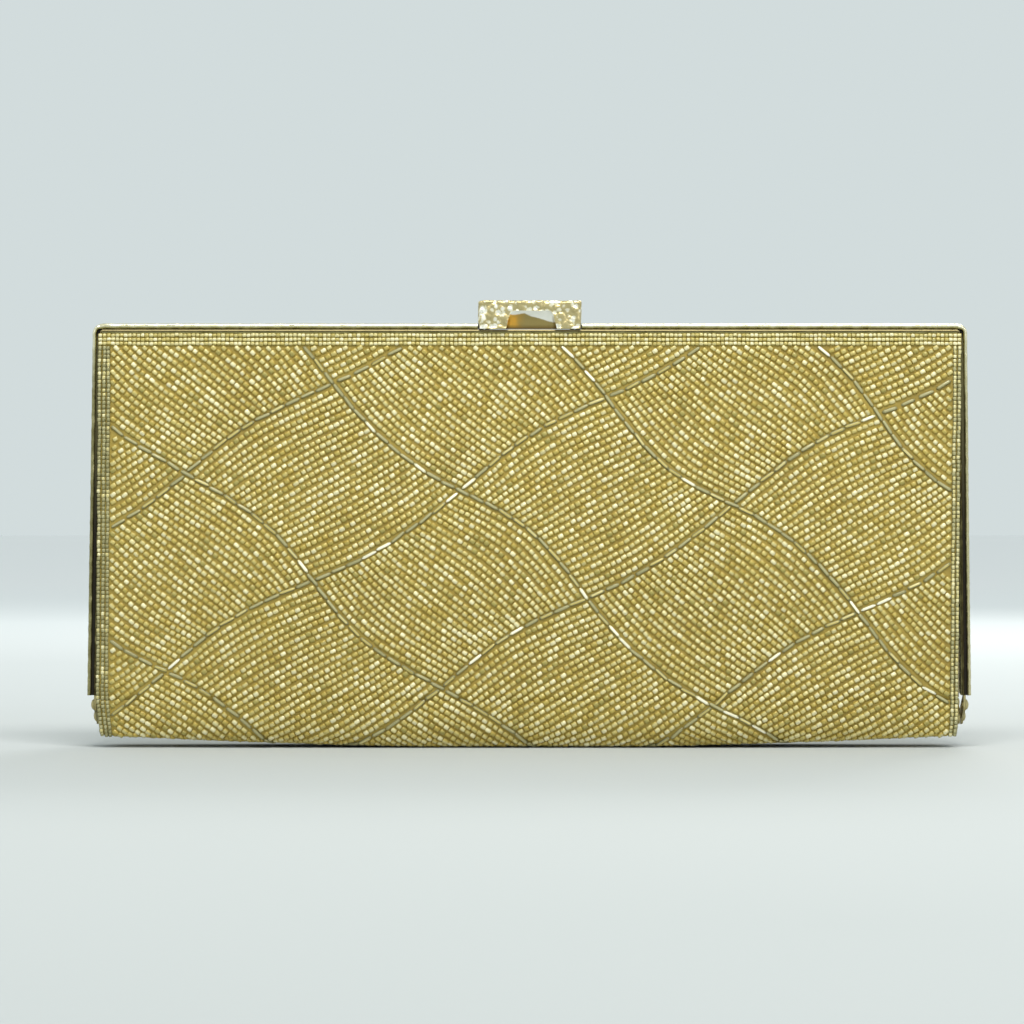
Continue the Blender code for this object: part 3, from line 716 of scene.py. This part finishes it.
def string_beads(name, beads, length, radius, kinds, behind):
    """One mesh of many beads lying on the cloth; behind puts them on the rear half."""
    count = len(beads)
    x, t, dx, dt = beads.T
    turn = chance.normal(0.0, 0.05, count)
    dx, dt = dx * np.cos(turn) - dt * np.sin(turn), dx * np.sin(turn) + dt * np.cos(turn)
    here, along, normal = cloth_frame(x, t, dx, dt)
    across = np.cross(normal, along)
    tilt = chance.normal(0.0, 0.05 * BEAD_LENGTH / length, count)[:, None]
    along, normal = unit(along + tilt * normal), unit(normal - tilt * along)
    size = radius * chance.normal(1.0, 0.04, count).clip(0.9, 1.1)
    reach = 0.5 * length * chance.normal(1.0, 0.06, count).clip(0.84, 1.08)
    middle = here - normal * (radius * 1.06 + chance.normal(0.0, 0.03 * MM, count)[:, None])
    middle = middle + across * chance.normal(0.0, 0.03 * MM, count)[:, None]
    roll = SPOKES[None, :] + chance.normal(0.0, 0.16, count)[:, None]
    spoke = np.cos(roll)[..., None] * normal[:, None, :] + np.sin(roll)[..., None] * across[:, None, :]
    points = (
        middle[:, None, None, :]
        + (reach[:, None, None, None] * STATIONS[None, :, None, None]) * along[:, None, None, :]
        + (size[:, None, None, None] * GIRTH[None, :, None, None]) * spoke[:, None, :, :]
    )
    quads = bead_quads()
    if behind:
        points = points * np.array([1.0, -1.0, 1.0])
        quads = quads[:, ::-1]
    all_quads = (quads[None] + (np.arange(count) * 4 * SIDES)[:, None, None]).reshape(-1, 4)
    looks, look_index = bead_looks(kinds, x, t)
    piece = mesh_object(name, points, all_quads, looks, look_index)
    return piece


def ride_or_blend(piece, on_base, behind):
    if on_base and not behind:
        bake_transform(piece)
    else:
        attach(piece, REAR if behind else FRONT)


def dress_half(word, behind):
    """All the beads of the front or the rear half, with its half of the base."""
    cad_node = word + "_beaded_panel"
    top_border, left_border, right_border = border_beads()
    sets = [
        ("beads", field_beads(), BEAD_LENGTH, BEAD_RADIUS, FIELD_BEADS),
        ("bugles", lattice_bugles(), BUGLE_LENGTH, BUGLE_RADIUS, LONG_BEADS),
        ("top_border", top_border, BORDER_LENGTH, BORDER_RADIUS, TOP_BEADS),
        ("left_border", left_border, BORDER_LENGTH, BORDER_RADIUS, SHADED_LEFT_BEADS),
        ("right_border", right_border, BORDER_LENGTH, BORDER_RADIUS, LIT_RIGHT_BEADS),
    ]
    third = HALF_WIDTH / 3.0
    for label, beads, length, radius, kinds in sets:
        on_base = beads[:, 1] < SEAM
        groups = []
        if on_base.any():
            groups.append(("base_" + word + "_" + label, beads[on_base], True))
        upper = beads[~on_base]
        if label == "beads":
            left = upper[:, 0] < -third
            right = upper[:, 0] > third
            groups.append((word + "_beads_left", upper[left], False))
            groups.append((word + "_beads_middle", upper[~left & ~right], False))
            groups.append((word + "_beads_right", upper[right], False))
        else:
            groups.append((word + "_" + label, upper, False))
        for name, chosen, base in groups:
            piece = string_beads(name, chosen, length, radius, kinds, behind)
            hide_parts("base_fold" if base else cad_node)
            ride_or_blend(piece, base, behind)


dress_half("front", False)
dress_half("rear", True)


# ---------------- cloth under the beads, and the lining


def layer_grid(depth, half_width, low, high, facing, ease):
    """A grid of points at a depth below the beaded surface; the cloth near the beads spreads with them."""
    x, z = np.meshgrid(np.linspace(-half_width, half_width, 97), np.linspace(low, high, 43))
    sunk = np.full_like(x, depth)
    if ease:
        sunk = sunk + ease * ripple(x + 0.35 * z, (31.0 * MM, 53.0 * MM, 87.0 * MM), 5)
        sunk = sunk + 0.5 * ease * ripple(z - 0.2 * x, (23.0 * MM, 61.0 * MM), 6)
    wide = 1.0 + (spread(x, z) / HALF_WIDTH if depth < NEAR_BEADS else 0.0)
    return np.stack([x * wide, facing * (belly(x, z) - sunk), z], axis=-1)


def curved_layer(name, facing, faces, size, look, body, node, ease=0.0):
    """A thin sheet along the front or the rear; size is its half width, low edge and high edge."""
    half_width, low, high = size
    outer, inner = (layer_grid(depth, half_width, low, high, facing, ease) for depth in faces)
    piece = sheet_object(name, outer, inner, look)
    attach(piece, body)
    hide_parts(node)


def trough_grid(depth, half_length):
    """The cloth round the base, from the front seam to the rear seam."""
    x = np.linspace(-half_length, half_length, 97)
    y, z, _ = base_arc(x, depth)
    front = np.stack([np.broadcast_to(x[:, None], y.shape), -y, z], axis=-1)
    back = front[:, ::-1] * np.array([1.0, -1.0, 1.0])
    grid = np.concatenate([front[:, :-1], back], axis=1)
    if depth < NEAR_BEADS:
        grid[..., 0] *= 1.0 + spread(grid[..., 0], grid[..., 2]) / HALF_WIDTH
    down = np.clip((SEAM - grid[..., 2]) / SEAM, 0.0, 1.0)
    pull = BASE_TAPER * down**2 * np.abs(grid[..., 0] / BASE_HALF_LENGTH) ** 12
    grid[..., 0] -= np.sign(grid[..., 0]) * pull
    return grid


def base_sheet(name, faces, half_length, look, node):
    """A thin sheet round the base, from seam to seam."""
    outer, inner = (trough_grid(depth, half_length) for depth in faces)
    piece = sheet_object(name, outer, inner, look)
    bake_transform(piece)
    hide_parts(node)


board_low, board_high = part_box("front_board")
CLOTH_SIZE = (HALF_WIDTH - 0.1 * MM, SEAM + 0.1 * MM, PANEL_TOP + 0.8 * MM)
LINING_SIZE = (board_high.x - 0.2 * MM, board_low.z + 0.1 * MM, board_high.z)
for word, facing, body in (("front", -1.0, FRONT), ("rear", 1.0, REAR)):
    name, node = word + "_ground_cloth", word + "_beaded_panel"
    curved_layer(name, facing, CLOTH_FACES, CLOTH_SIZE, ground_cloth, body, node)
    name, node = word + "_satin_lining", word + "_lining"
    curved_layer(name, facing, LINING_FACES, LINING_SIZE, satin, body, node, 0.12 * MM)
base_sheet("base_ground_cloth", CLOTH_FACES, HALF_WIDTH, ground_cloth, "base_fold")
base_sheet("base_satin_lining", LINING_FACES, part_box("base_lining")[1].x, satin, "base_lining")


# ---------------- gussets


def gusset(name, side):
    """A satin side that folds into the bag along its middle, gathered towards the hinge."""
    low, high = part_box(name)
    edge = max(abs(low.x), abs(high.x)) - 0.35 * MM
    z = np.linspace(low.z, high.z, 90)[:, None]
    across = np.linspace(-1.0, 1.0, 33)[None, :]
    slope = 0.40
    fold = np.maximum(0.0, z - hinge_z - 1.5 * MM) * slope
    wide = 5.5 * MM + (4.2 - 5.5) * MM * smooth_step((z - low.z) / (8.0 * MM))
    soft = np.sqrt(across**2 + 0.0036)
    reach = (1.0 - np.maximum(soft - 0.06, 0.0)) * fold
    pleat = 0.22 * MM * np.sin(across * 9.0 + 2.0) * smooth_step((z - 20.0 * MM) / (30.0 * MM))
    pleat = pleat * (1.0 - across**4)
    sag = ripple(z + 0.0 * across, (17.0 * MM, 29.0 * MM, 47.0 * MM), 21, 0.25 * MM) * (1.0 - across**2)
    x = edge - reach + sag
    y = wide * across + pleat
    x, y, z = np.broadcast_arrays(x, y, z)
    middle = np.stack([side * x, y, z], axis=-1)
    turn_z = np.gradient(middle, axis=0)
    turn_c = np.gradient(middle, axis=1)
    normal = unit(np.cross(turn_z, turn_c))
    thick = 0.14 * MM
    new_name = name.replace("gusset", "satin_gusset")
    piece = sheet_object(new_name, middle + thick * normal, middle - thick * normal, satin)
    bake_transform(piece)
    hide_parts(name)


gusset("left_gusset", -1.0)
gusset("right_gusset", 1.0)


# ---------------- frame halves


LEG_LOW = 14.5 * MM
CORNER = 3.0 * MM
TOP_HALF = 122.4 * MM
NOTCH_FLOOR = 117.0 * MM
NOTCH_STEP = 115.7 * MM
LEG_LEFT = frame_high.x + 0.35 * MM
LEG_RIGHT = frame_high.x - 0.05 * MM
FRAME_TOP = frame_high.z


def half_path(leg_half):
    """From a leg's end to the middle: points, outward directions, shares of the inner lip and the face."""
    side = np.array([FRAME_TOP - LEG_LOW, leg_half - TOP_HALF])
    tilt = math.atan2(side[1], side[0])
    centre_x = TOP_HALF - CORNER
    centre_z = FRAME_TOP - CORNER
    share = np.linspace(0.0, 1.0, 90, endpoint=False)
    leg_x = leg_half + share * (centre_x + CORNER * math.cos(tilt) - leg_half)
    leg_z = LEG_LOW + share * (centre_z + CORNER * math.sin(tilt) - LEG_LOW)
    angle = np.linspace(tilt, math.pi / 2.0, 12)
    bend_x = centre_x + CORNER * np.cos(angle)
    bend_z = centre_z + CORNER * np.sin(angle)
    top_x = np.linspace(centre_x, 0.0, 110)[1:]
    x = np.concatenate([leg_x, bend_x, top_x])
    z = np.concatenate([leg_z, bend_z, np.full_like(top_x, FRAME_TOP)])
    angle = np.concatenate([np.full_like(leg_x, tilt), angle, np.full_like(top_x, math.pi / 2.0)])
    lip = smooth_step((centre_x - x) / (9.0 * MM))
    lip[: len(leg_x) + len(bend_x)] = 0.0
    face = smooth_step((angle - math.radians(30.0)) / math.radians(45.0))
    return np.stack([x, z, np.cos(angle), np.sin(angle), lip, face], axis=1)


def frame_path():
    """The whole inverted U, from the right leg over the top to the left leg, and the run along it."""
    other = half_path(LEG_LEFT)[::-1][1:] * np.array([-1.0, 1.0, -1.0, 1.0, 1.0, 1.0])
    path = np.concatenate([half_path(LEG_RIGHT), other])
    run = np.concatenate([[0.0], np.cumsum(np.linalg.norm(np.diff(path[:, :2], axis=0), axis=1))])
    return path, run


def frame_outline(lip, face):
    """Rim, ridge, groove, rib and the channel inside, as (distance in, depth), and the look of each step: painted
    shade in the groove, on the ridge's underside and in the step behind the rib.
    """
    ridge = 1.1 + 0.4 * face
    groove = ridge + 0.85 - 0.6 * face
    rib = groove + 0.45 + 0.2 * face
    inner = rib + 0.33
    outline = [(0.0, 0.15), (0.0, 2.0), (0.0, 4.0), (0.0, 6.0), (0.0, 7.6)]
    looks = [0, 0, 0, 0, 0]
    half = 0.5 * ridge
    for degrees in range(0, 181, 15):
        angle = math.radians(degrees)
        outline.append((half * (1.0 - math.cos(angle)), 8.86 + 0.74 * math.sin(angle) ** 0.8))
        # The ridge's lower half takes painted shade.
        looks.append(0 if degrees < 105 else 3)
    floor = 8.25 - 0.25 * face
    outline += [(ridge + 0.02, 8.6), (ridge + 0.04, floor)]
    outline += [(groove - 0.04, floor), (groove - 0.02, 8.6)]
    looks[-1] = 1
    looks += [1, 1, 1, 1]
    outline += [(groove, 9.05), (groove + 0.06, 9.22), (0.5 * (groove + rib), 9.34), (rib - 0.06, 9.22)]
    looks += [2, 2, 2, 2]
    # The step behind the rib takes painted shade, a dark line between rib and beads.
    outline += [(rib, 9.0), (rib, 8.3), (inner, 8.3), (inner, 7.6), (1.1, 7.6), (1.15, 5.2)]
    looks += [3, 3, 3, 1, 0, 0]
    reach = 2.7 + 1.5 * lip
    outline += [(reach, 5.2), (reach, 4.6), (1.15, 4.6), (1.0, 0.15)]
    looks += [0, 0, 0, 0]
    return np.array(outline) * MM, looks


def box_cutter(outline, half_width, look):
    """A prism across the bag with the given side outline (depth, height)."""
    work = bmesh.new()
    ends = []
    for x in (-half_width, half_width):
        ends.append([work.verts.new((x, y, z)) for y, z in outline])
    work.faces.new(ends[0])
    work.faces.new(ends[1][::-1])
    for i in range(len(outline)):
        j = (i + 1) % len(outline)
        work.faces.new((ends[0][i], ends[1][i], ends[1][j], ends[0][j]))
    bmesh.ops.recalc_face_normals(work, faces=work.faces)
    mesh = bpy.data.meshes.new("cutter")
    work.to_mesh(mesh)
    work.free()
    mesh.materials.append(look)
    cutter = bpy.data.objects.new("cutter", mesh)
    bpy.context.scene.collection.objects.link(cutter)
    return cutter


def carve(piece, cutters):
    """Takes the cutters out of the piece for good."""
    for cutter in cutters:
        step = piece.modifiers.new("cut", "BOOLEAN")
        step.operation = "DIFFERENCE"
        step.solver = "EXACT"
        step.material_mode = "TRANSFER"
        step.object = cutter
    made = bpy.data.meshes.new_from_object(piece.evaluated_get(bpy.context.evaluated_depsgraph_get()))
    piece.modifiers.clear()
    piece.data = made
    for cutter in cutters:
        bpy.data.objects.remove(cutter)
    return piece


def shade_by_angle(piece, degrees):
    """Smooth faces with sharp edges where the surface turns by more than the angle."""
    piece.data.polygons.foreach_set("use_smooth", np.full(len(piece.data.polygons), True))
    piece.data.set_sharp_from_angle(angle=math.radians(degrees))


def frame_half(name, facing, body, seed):
    path, run = frame_path()
    outline = np.stack([frame_outline(lip, face)[0] for lip, face in path[:, 4:]])
    looks = frame_outline(1.0, 1.0)[1]
    inward = outline[..., 0]
    depth = outline[..., 1]
    s = run[:, None]
    dent = ripple(s + 0.0 * depth, (2.3 * MM, 3.7 * MM, 5.9 * MM), seed)
    dent = dent + 0.6 * ripple(s + 1.7 * depth, (1.7 * MM, 2.9 * MM, 4.7 * MM), seed + 1)
    slow = ripple(s + 0.0 * depth, (31.0 * MM, 67.0 * MM, 113.0 * MM), seed + 2)
    gilt = np.isin(looks, (0, 3))[None, :]
    on_ridge = (depth > 8.62 * MM) & (inward < 1.48 * MM) & gilt
    on_rim = (inward < 0.01 * MM) & (depth <= 8.62 * MM) & (depth > 1.0 * MM)
    depth = depth - np.where(on_ridge, 0.10 * MM * (1.3 + dent + 0.4 * slow), 0.0)
    inward = inward + np.where(on_ridge | on_rim, 0.05 * MM * (1.3 + dent + 0.6 * slow), 0.0)
    x = path[:, 0:1] - inward * path[:, 2:3]
    z = path[:, 1:2] - inward * path[:, 3:4]
    points = np.stack([x, facing * depth, z], axis=-1)
    count = points.shape[1]
    look_index = np.tile(looks, len(points) - 1)
    # groove_dark and ridge_shade carry painted shade; frame_gold and rib_gold carry painted light and shade by
    # height.
    metals = [frame_gold, groove_dark, rib_gold, ridge_shade]
    piece = mesh_object(name, points, grid_quads(len(points), count, closed=True), metals, look_index)
    outward(piece, fill=True)
    floor = NOTCH_FLOOR / MM
    notch = [(-11.0, 127.0), (-11.0, floor), (-8.05, floor), (-8.05, NOTCH_STEP / MM)]
    notch += [(8.05, NOTCH_STEP / MM), (8.05, floor), (11.0, floor), (11.0, 127.0)]
    # The notch's cut faces take the groove's dark colour: painted shade under the clasp bar.
    carve(piece, [box_cutter([(y * MM, z * MM) for y, z in notch], bar_high.x + 0.12 * MM, groove_dark)])
    shade_by_angle(piece, 38.0)
    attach(piece, body)
    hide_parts(name.replace("_plated", ""))
    return piece


frame_half("front_frame_plated", -1.0, FRONT, 31)
frame_half("rear_frame_plated", 1.0, REAR, 47)


# ---------------- clasp bar


def nugget_height(points, seeds, sizes, heights):
    """Height of rounded lumps around scattered seed points, and how near each point is to a lump's top."""
    best = np.zeros(len(points))
    for seed, size, height in zip(seeds, sizes, heights):
        near = np.flatnonzero(np.abs(points - seed).max(axis=1) < size)
        far = np.linalg.norm(points[near] - seed, axis=1) / size
        best[near] = np.maximum(best[near], height * np.sqrt(np.clip(1.0 - far**2, 0.0, 1.0)))
    return best


def bar_outline(front, low, high):
    """The bar's side view as (depth, height): a square nose, a flat top and a tail rounded about the pin."""
    tail = high - clasp_z
    nose = 0.8 * MM
    outline = []
    for share in np.linspace(0.0, 1.0, 10):
        y = 2.0 * MM + share * (clasp_y - 2.0 * MM)
        outline.append((y, low + share * (clasp_z - tail - low)))
    for angle in np.linspace(-math.pi / 2.0, math.pi / 2.0, 40)[1:]:
        outline.append((clasp_y + tail * math.cos(angle), clasp_z + tail * math.sin(angle)))
    for y in np.linspace(clasp_y, front + nose, 70)[1:]:
        outline.append((y, high))
    for angle in np.linspace(math.pi / 2.0, math.pi, 8)[1:]:
        outline.append((front + nose + nose * math.cos(angle), high - nose + nose * math.sin(angle)))
    for z in np.linspace(high - nose, low, 36)[1:]:
        outline.append((front, z))
    for y in np.linspace(front, 2.0 * MM, 40)[1:-1]:
        outline.append((y, low))
    return np.array(outline)


def clasp_bar():
    """A nugget-textured block over both frame halves, with a smooth scooped finger recess."""
    half = bar_high.x
    front = bar_low.y
    low = NOTCH_FLOOR + 0.02 * MM
    high = bar_high.z
    skin = 0.3 * MM
    end_round = 0.6 * MM
    outline = bar_outline(front, low, high)
    middle = np.array([-1.0 * MM, 0.5 * (low + high)])
    under = outline[:, 1] < low + 0.3 * MM
    away = unit(outline - middle)
    inset = np.where(under, 0.0, skin)[:, None]
    rings = []
    for x in np.linspace(-half, half, 141):
        over = max(0.0, abs(x) - (half - end_round)) / end_round
        shrink = end_round * (1.0 - math.sqrt(max(0.0, 1.0 - over**2)))
        ring = outline - away * (inset + shrink)
        ring[:, 1] = np.maximum(ring[:, 1], low)
        rings.append(np.column_stack([np.full(len(ring), x * (1.0 - skin / half)), ring]))
    first = []
    last = []
    for share in np.linspace(1.0, 0.02, 14)[1:]:
        for ends, ring in ((first, rings[0]), (last, rings[-1])):
            heart = np.array([ring[0][0], *middle])
            ends.append(heart + (ring - heart) * share)
    points = np.array(first[::-1] + rings + last)
    flat = points.reshape(-1, 3)
    dice = np.random.default_rng(5)
    wanted = 800
    seeds = flat[dice.integers(0, len(flat), wanted)] + dice.normal(0.0, 0.12 * MM, (wanted, 3))
    sizes = dice.uniform(0.6, 1.5, wanted) * MM
    heights = dice.uniform(0.08, 0.42, wanted) * MM
    lump = nugget_height(flat, seeds, sizes, heights)
    heart = np.column_stack([flat[:, 0], np.full(len(flat), middle[0]), np.full(len(flat), middle[1])])
    way = unit(flat - heart)
    end = np.abs(flat[:, 0]) > half - skin - 0.6 * MM
    outwards = np.zeros((end.sum(), 3))
    outwards[:, 0] = 2.5 * np.sign(flat[end, 0])
    way[end] = unit(way[end] + outwards)
    lump[flat[:, 2] < low + 0.25 * MM] = 0.0
    flat = flat + way * lump[:, None]
    quads = grid_quads(len(points), points.shape[1], closed=True)
    piece = mesh_object("clasp_bar_nugget", flat, quads, [clasp_gold, clasp_painted_reflection])
    outward(piece, fill=True)
    roof = 123.6 * MM
    hollow = [(-8.0 * MM, low - 5.0 * MM), (14.0 * MM, low - 5.0 * MM), (14.0 * MM, roof), (-8.0 * MM, roof)]
    carve(piece, [box_cutter(hollow, half - 1.6 * MM, clasp_painted_reflection), recess_cutter(front, low)])
    return piece


def recess_cutter(front, low):
    """The scoop: narrow at the top, wide and deep at the bottom, with rounded corners."""
    top = 122.1 * MM
    rows = 22
    columns = 33
    grid = []
    for i in range(rows):
        share = i / (rows - 1)
        z = top - share * (top - low + 0.8 * MM)
        half = (6.1 + 1.3 * share**1.3) * MM * min(1.0, 0.86 + 0.14 * math.sqrt(min(1.0, share * 6.0)))
        line = []
        for j in range(columns):
            part = 2.0 * j / (columns - 1) - 1.0
            deep = 0.35 * MM + 1.45 * MM * math.sin(math.pi * 0.5 * min(1.0, share * 1.35))
            deep = deep * (1.0 - abs(part) ** 8)
            line.append((0.4 * MM + half * part, front + deep, z))
        grid.append(line)
    back = np.array(grid)
    face = back.copy()
    face[..., 1] = front - 3.0 * MM
    return sheet_object("recess cutter", face, back, clasp_painted_reflection)


def nugget_gold():
    """Pale gold lumps, with near-white painted highlight on their middles and olive-gold painted shade in the
    hollows between them.
    """
    look = Nodes("clasp gold", CLASP_SEEN)
    place = look.place()
    hollow = look.add("ShaderNodeTexVoronoi", Vector=place, Scale=620.0).outputs["Distance"]
    shade = look.math("ADD", hollow, look.noise(place, 420.0, 3.0))
    # Near-white in the middle of each cell as painted highlight, dark at its edges as painted shade.
    stops = [(0.68, (1.0, 0.97, 0.85)), (0.90, (0.88, 0.81, 0.57)), (1.0, (0.54, 0.45, 0.22))]
    look.bump(hollow, 0.5, 0.0003)
    look.set(Base_Color=look.ramp(shade, stops), Metallic=0.85, Roughness=0.36)
    return look.material


def recess_painted_reflection():
    """Polished metal with painted reflection: pale along the top and in a wedge on the right, amber on the left,
    and brown painted shade below.
    """
    look = Nodes("clasp painted reflection", CLASP_SEEN)
    place = look.place()
    x, _, z = look.parts(place)
    cloud = look.noise(place, 330.0, 2.0)
    wedge = look.math("ADD", z, look.span(x, -1.6 * MM, 7.5 * MM, 0.0, 2.7 * MM))
    # The pale band and wedge: painted reflection of the backdrop.
    pale = look.span(look.math("MULTIPLY_ADD", cloud, 1.2 * MM, wedge), 121.6 * MM, 121.9 * MM)
    spot = look.math("MULTIPLY_ADD", cloud, 0.7, look.span(x, -4.2 * MM, 0.0))
    stops = [(0.35, (0.72, 0.38, 0.05)), (0.62, (0.46, 0.29, 0.07)), (1.0, (0.34, 0.26, 0.09))]
    amber_reflection = look.ramp(spot, stops)
    # Brown low in the recess: painted shade.
    low = look.mix(look.span(z, 117.2 * MM, 118.3 * MM), (0.16, 0.10, 0.025, 1.0), amber_reflection)
    look.set(Base_Color=look.mix(pale, low, (0.90, 0.89, 0.80, 1.0)), Metallic=0.7, Roughness=0.3)
    return look.material


CLASP_SEEN = (0.85, 0.75, 0.50)
clasp_gold = nugget_gold()
clasp_painted_reflection = recess_painted_reflection()
bar = clasp_bar()
shade_by_angle(bar, 50.0)
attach(bar, LEVER)
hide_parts("clasp_bar")


# ---------------- CAD pieces that stay, with their materials

KEPT_LOOKS = {"hinge_gold": hinge_gold, "clasp_steel": steel, "board": card}
slot_of = {entry["node"]: entry["material_slot"] for entry in frame["record"]["subparts"]}
replaced = {"front_frame", "rear_frame", "front_beaded_panel", "rear_beaded_panel", "base_fold"}
replaced |= {"front_lining", "rear_lining", "base_lining", "left_gusset", "right_gusset", "clasp_bar"}
for name, node in frame["nodes"].items():
    if name in replaced:
        node.hide_render = True
        node.hide_viewport = True
        continue
    node.data.materials.clear()
    node.data.materials.append(KEPT_LOOKS[slot_of[name]])


# ---------------- floor, light and camera


def stage_floor():
    """A wide pale floor, paler away from the softbox, so that it looks even and meets the backdrop softly."""
    look = Nodes("pale floor")
    away = look.add("ShaderNodeVectorMath", operation="DISTANCE")
    look.feed(away.inputs[0], look.place())
    look.feed(away.inputs[1], (0.05, -0.45, 0.0))
    far = look.math("MULTIPLY", away.outputs["Value"], 0.4)
    stops = []
    for place, shade in [(0.0, 0.40), (0.18, 0.46), (0.28, 0.56), (0.41, 0.66), (0.62, 0.93), (1.0, 0.97)]:
        stops.append((place, (shade * 0.98, shade * (1.05 - 0.07 * place), shade * (1.06 - 0.08 * place))))
    look.set(Base_Color=look.ramp(far, stops), Roughness=0.8)
    mesh = bpy.data.meshes.new("floor")
    size = 6.0
    drop = -0.2 * MM
    corners = [(-size, -size, drop), (size, -size, drop), (size, size, drop), (-size, size, drop)]
    mesh.from_pydata(corners, [], [(0, 1, 2, 3)])
    mesh.materials.append(look.material)
    floor = bpy.data.objects.new("floor", mesh)
    bpy.context.scene.collection.objects.link(floor)


def area_light(name, place, aim, size, power, colour):
    data = bpy.data.lights.new(name, "AREA")
    data.shape = "RECTANGLE"
    data.size, data.size_y = size
    data.energy = power
    data.color = colour
    lamp = bpy.data.objects.new(name, data)
    lamp.location = place
    way = np.array(aim) - np.array(place)
    lamp.rotation_mode = "QUATERNION"
    lamp.rotation_quaternion = Vector(way).to_track_quat("-Z", "Y")
    bpy.context.scene.collection.objects.link(lamp)


def studio():
    """Even pale room light, with a softbox above and in front and weaker ones at the sides."""
    world = bpy.data.worlds.new("studio")
    bpy.context.scene.world = world
    world.use_nodes = True
    room = world.node_tree.nodes["Background"]
    room.inputs["Color"].default_value = (0.645, 0.715, 0.72, 1.0)
    room.inputs["Strength"].default_value = 1.0
    area_light("top softbox", (0.05, -0.45, 0.85), (0.0, 0.0, 0.06), (0.5, 0.3), 7.0, (1.0, 0.97, 0.91))
    area_light("right softbox", (0.7, -0.8, 0.5), (0.0, 0.0, 0.06), (0.25, 0.3), 1.6, (1.0, 1.0, 1.0))
    area_light("back softbox", (0.3, 0.9, 0.7), (0.0, 0.0, 0.06), (0.5, 0.3), 4.0, (1.0, 0.98, 0.94))
    area_light("left softbox", (-0.8, -0.7, 0.5), (0.0, 0.0, 0.06), (0.25, 0.3), 0.8, (0.96, 0.98, 1.0))


def camera():
    data = bpy.data.cameras.new("camera")
    data.lens = 135.0
    data.sensor_width = 36.0
    seen = 0.2864
    distance = seen * data.lens / data.sensor_width
    eye = bpy.data.objects.new("camera", data)
    middle_z = 65.8 * MM
    eye.location = (-5.0 * MM, -EDGE_DEPTH - distance, middle_z + 4.0 * MM)
    eye.rotation_euler = (math.radians(90.0) - math.atan2(4.0 * MM, distance), 0.0, 0.0)
    bpy.context.scene.collection.objects.link(eye)
    bpy.context.scene.camera = eye


stage_floor()
studio()
camera()
bpy.context.scene.view_settings.view_transform = "Standard"
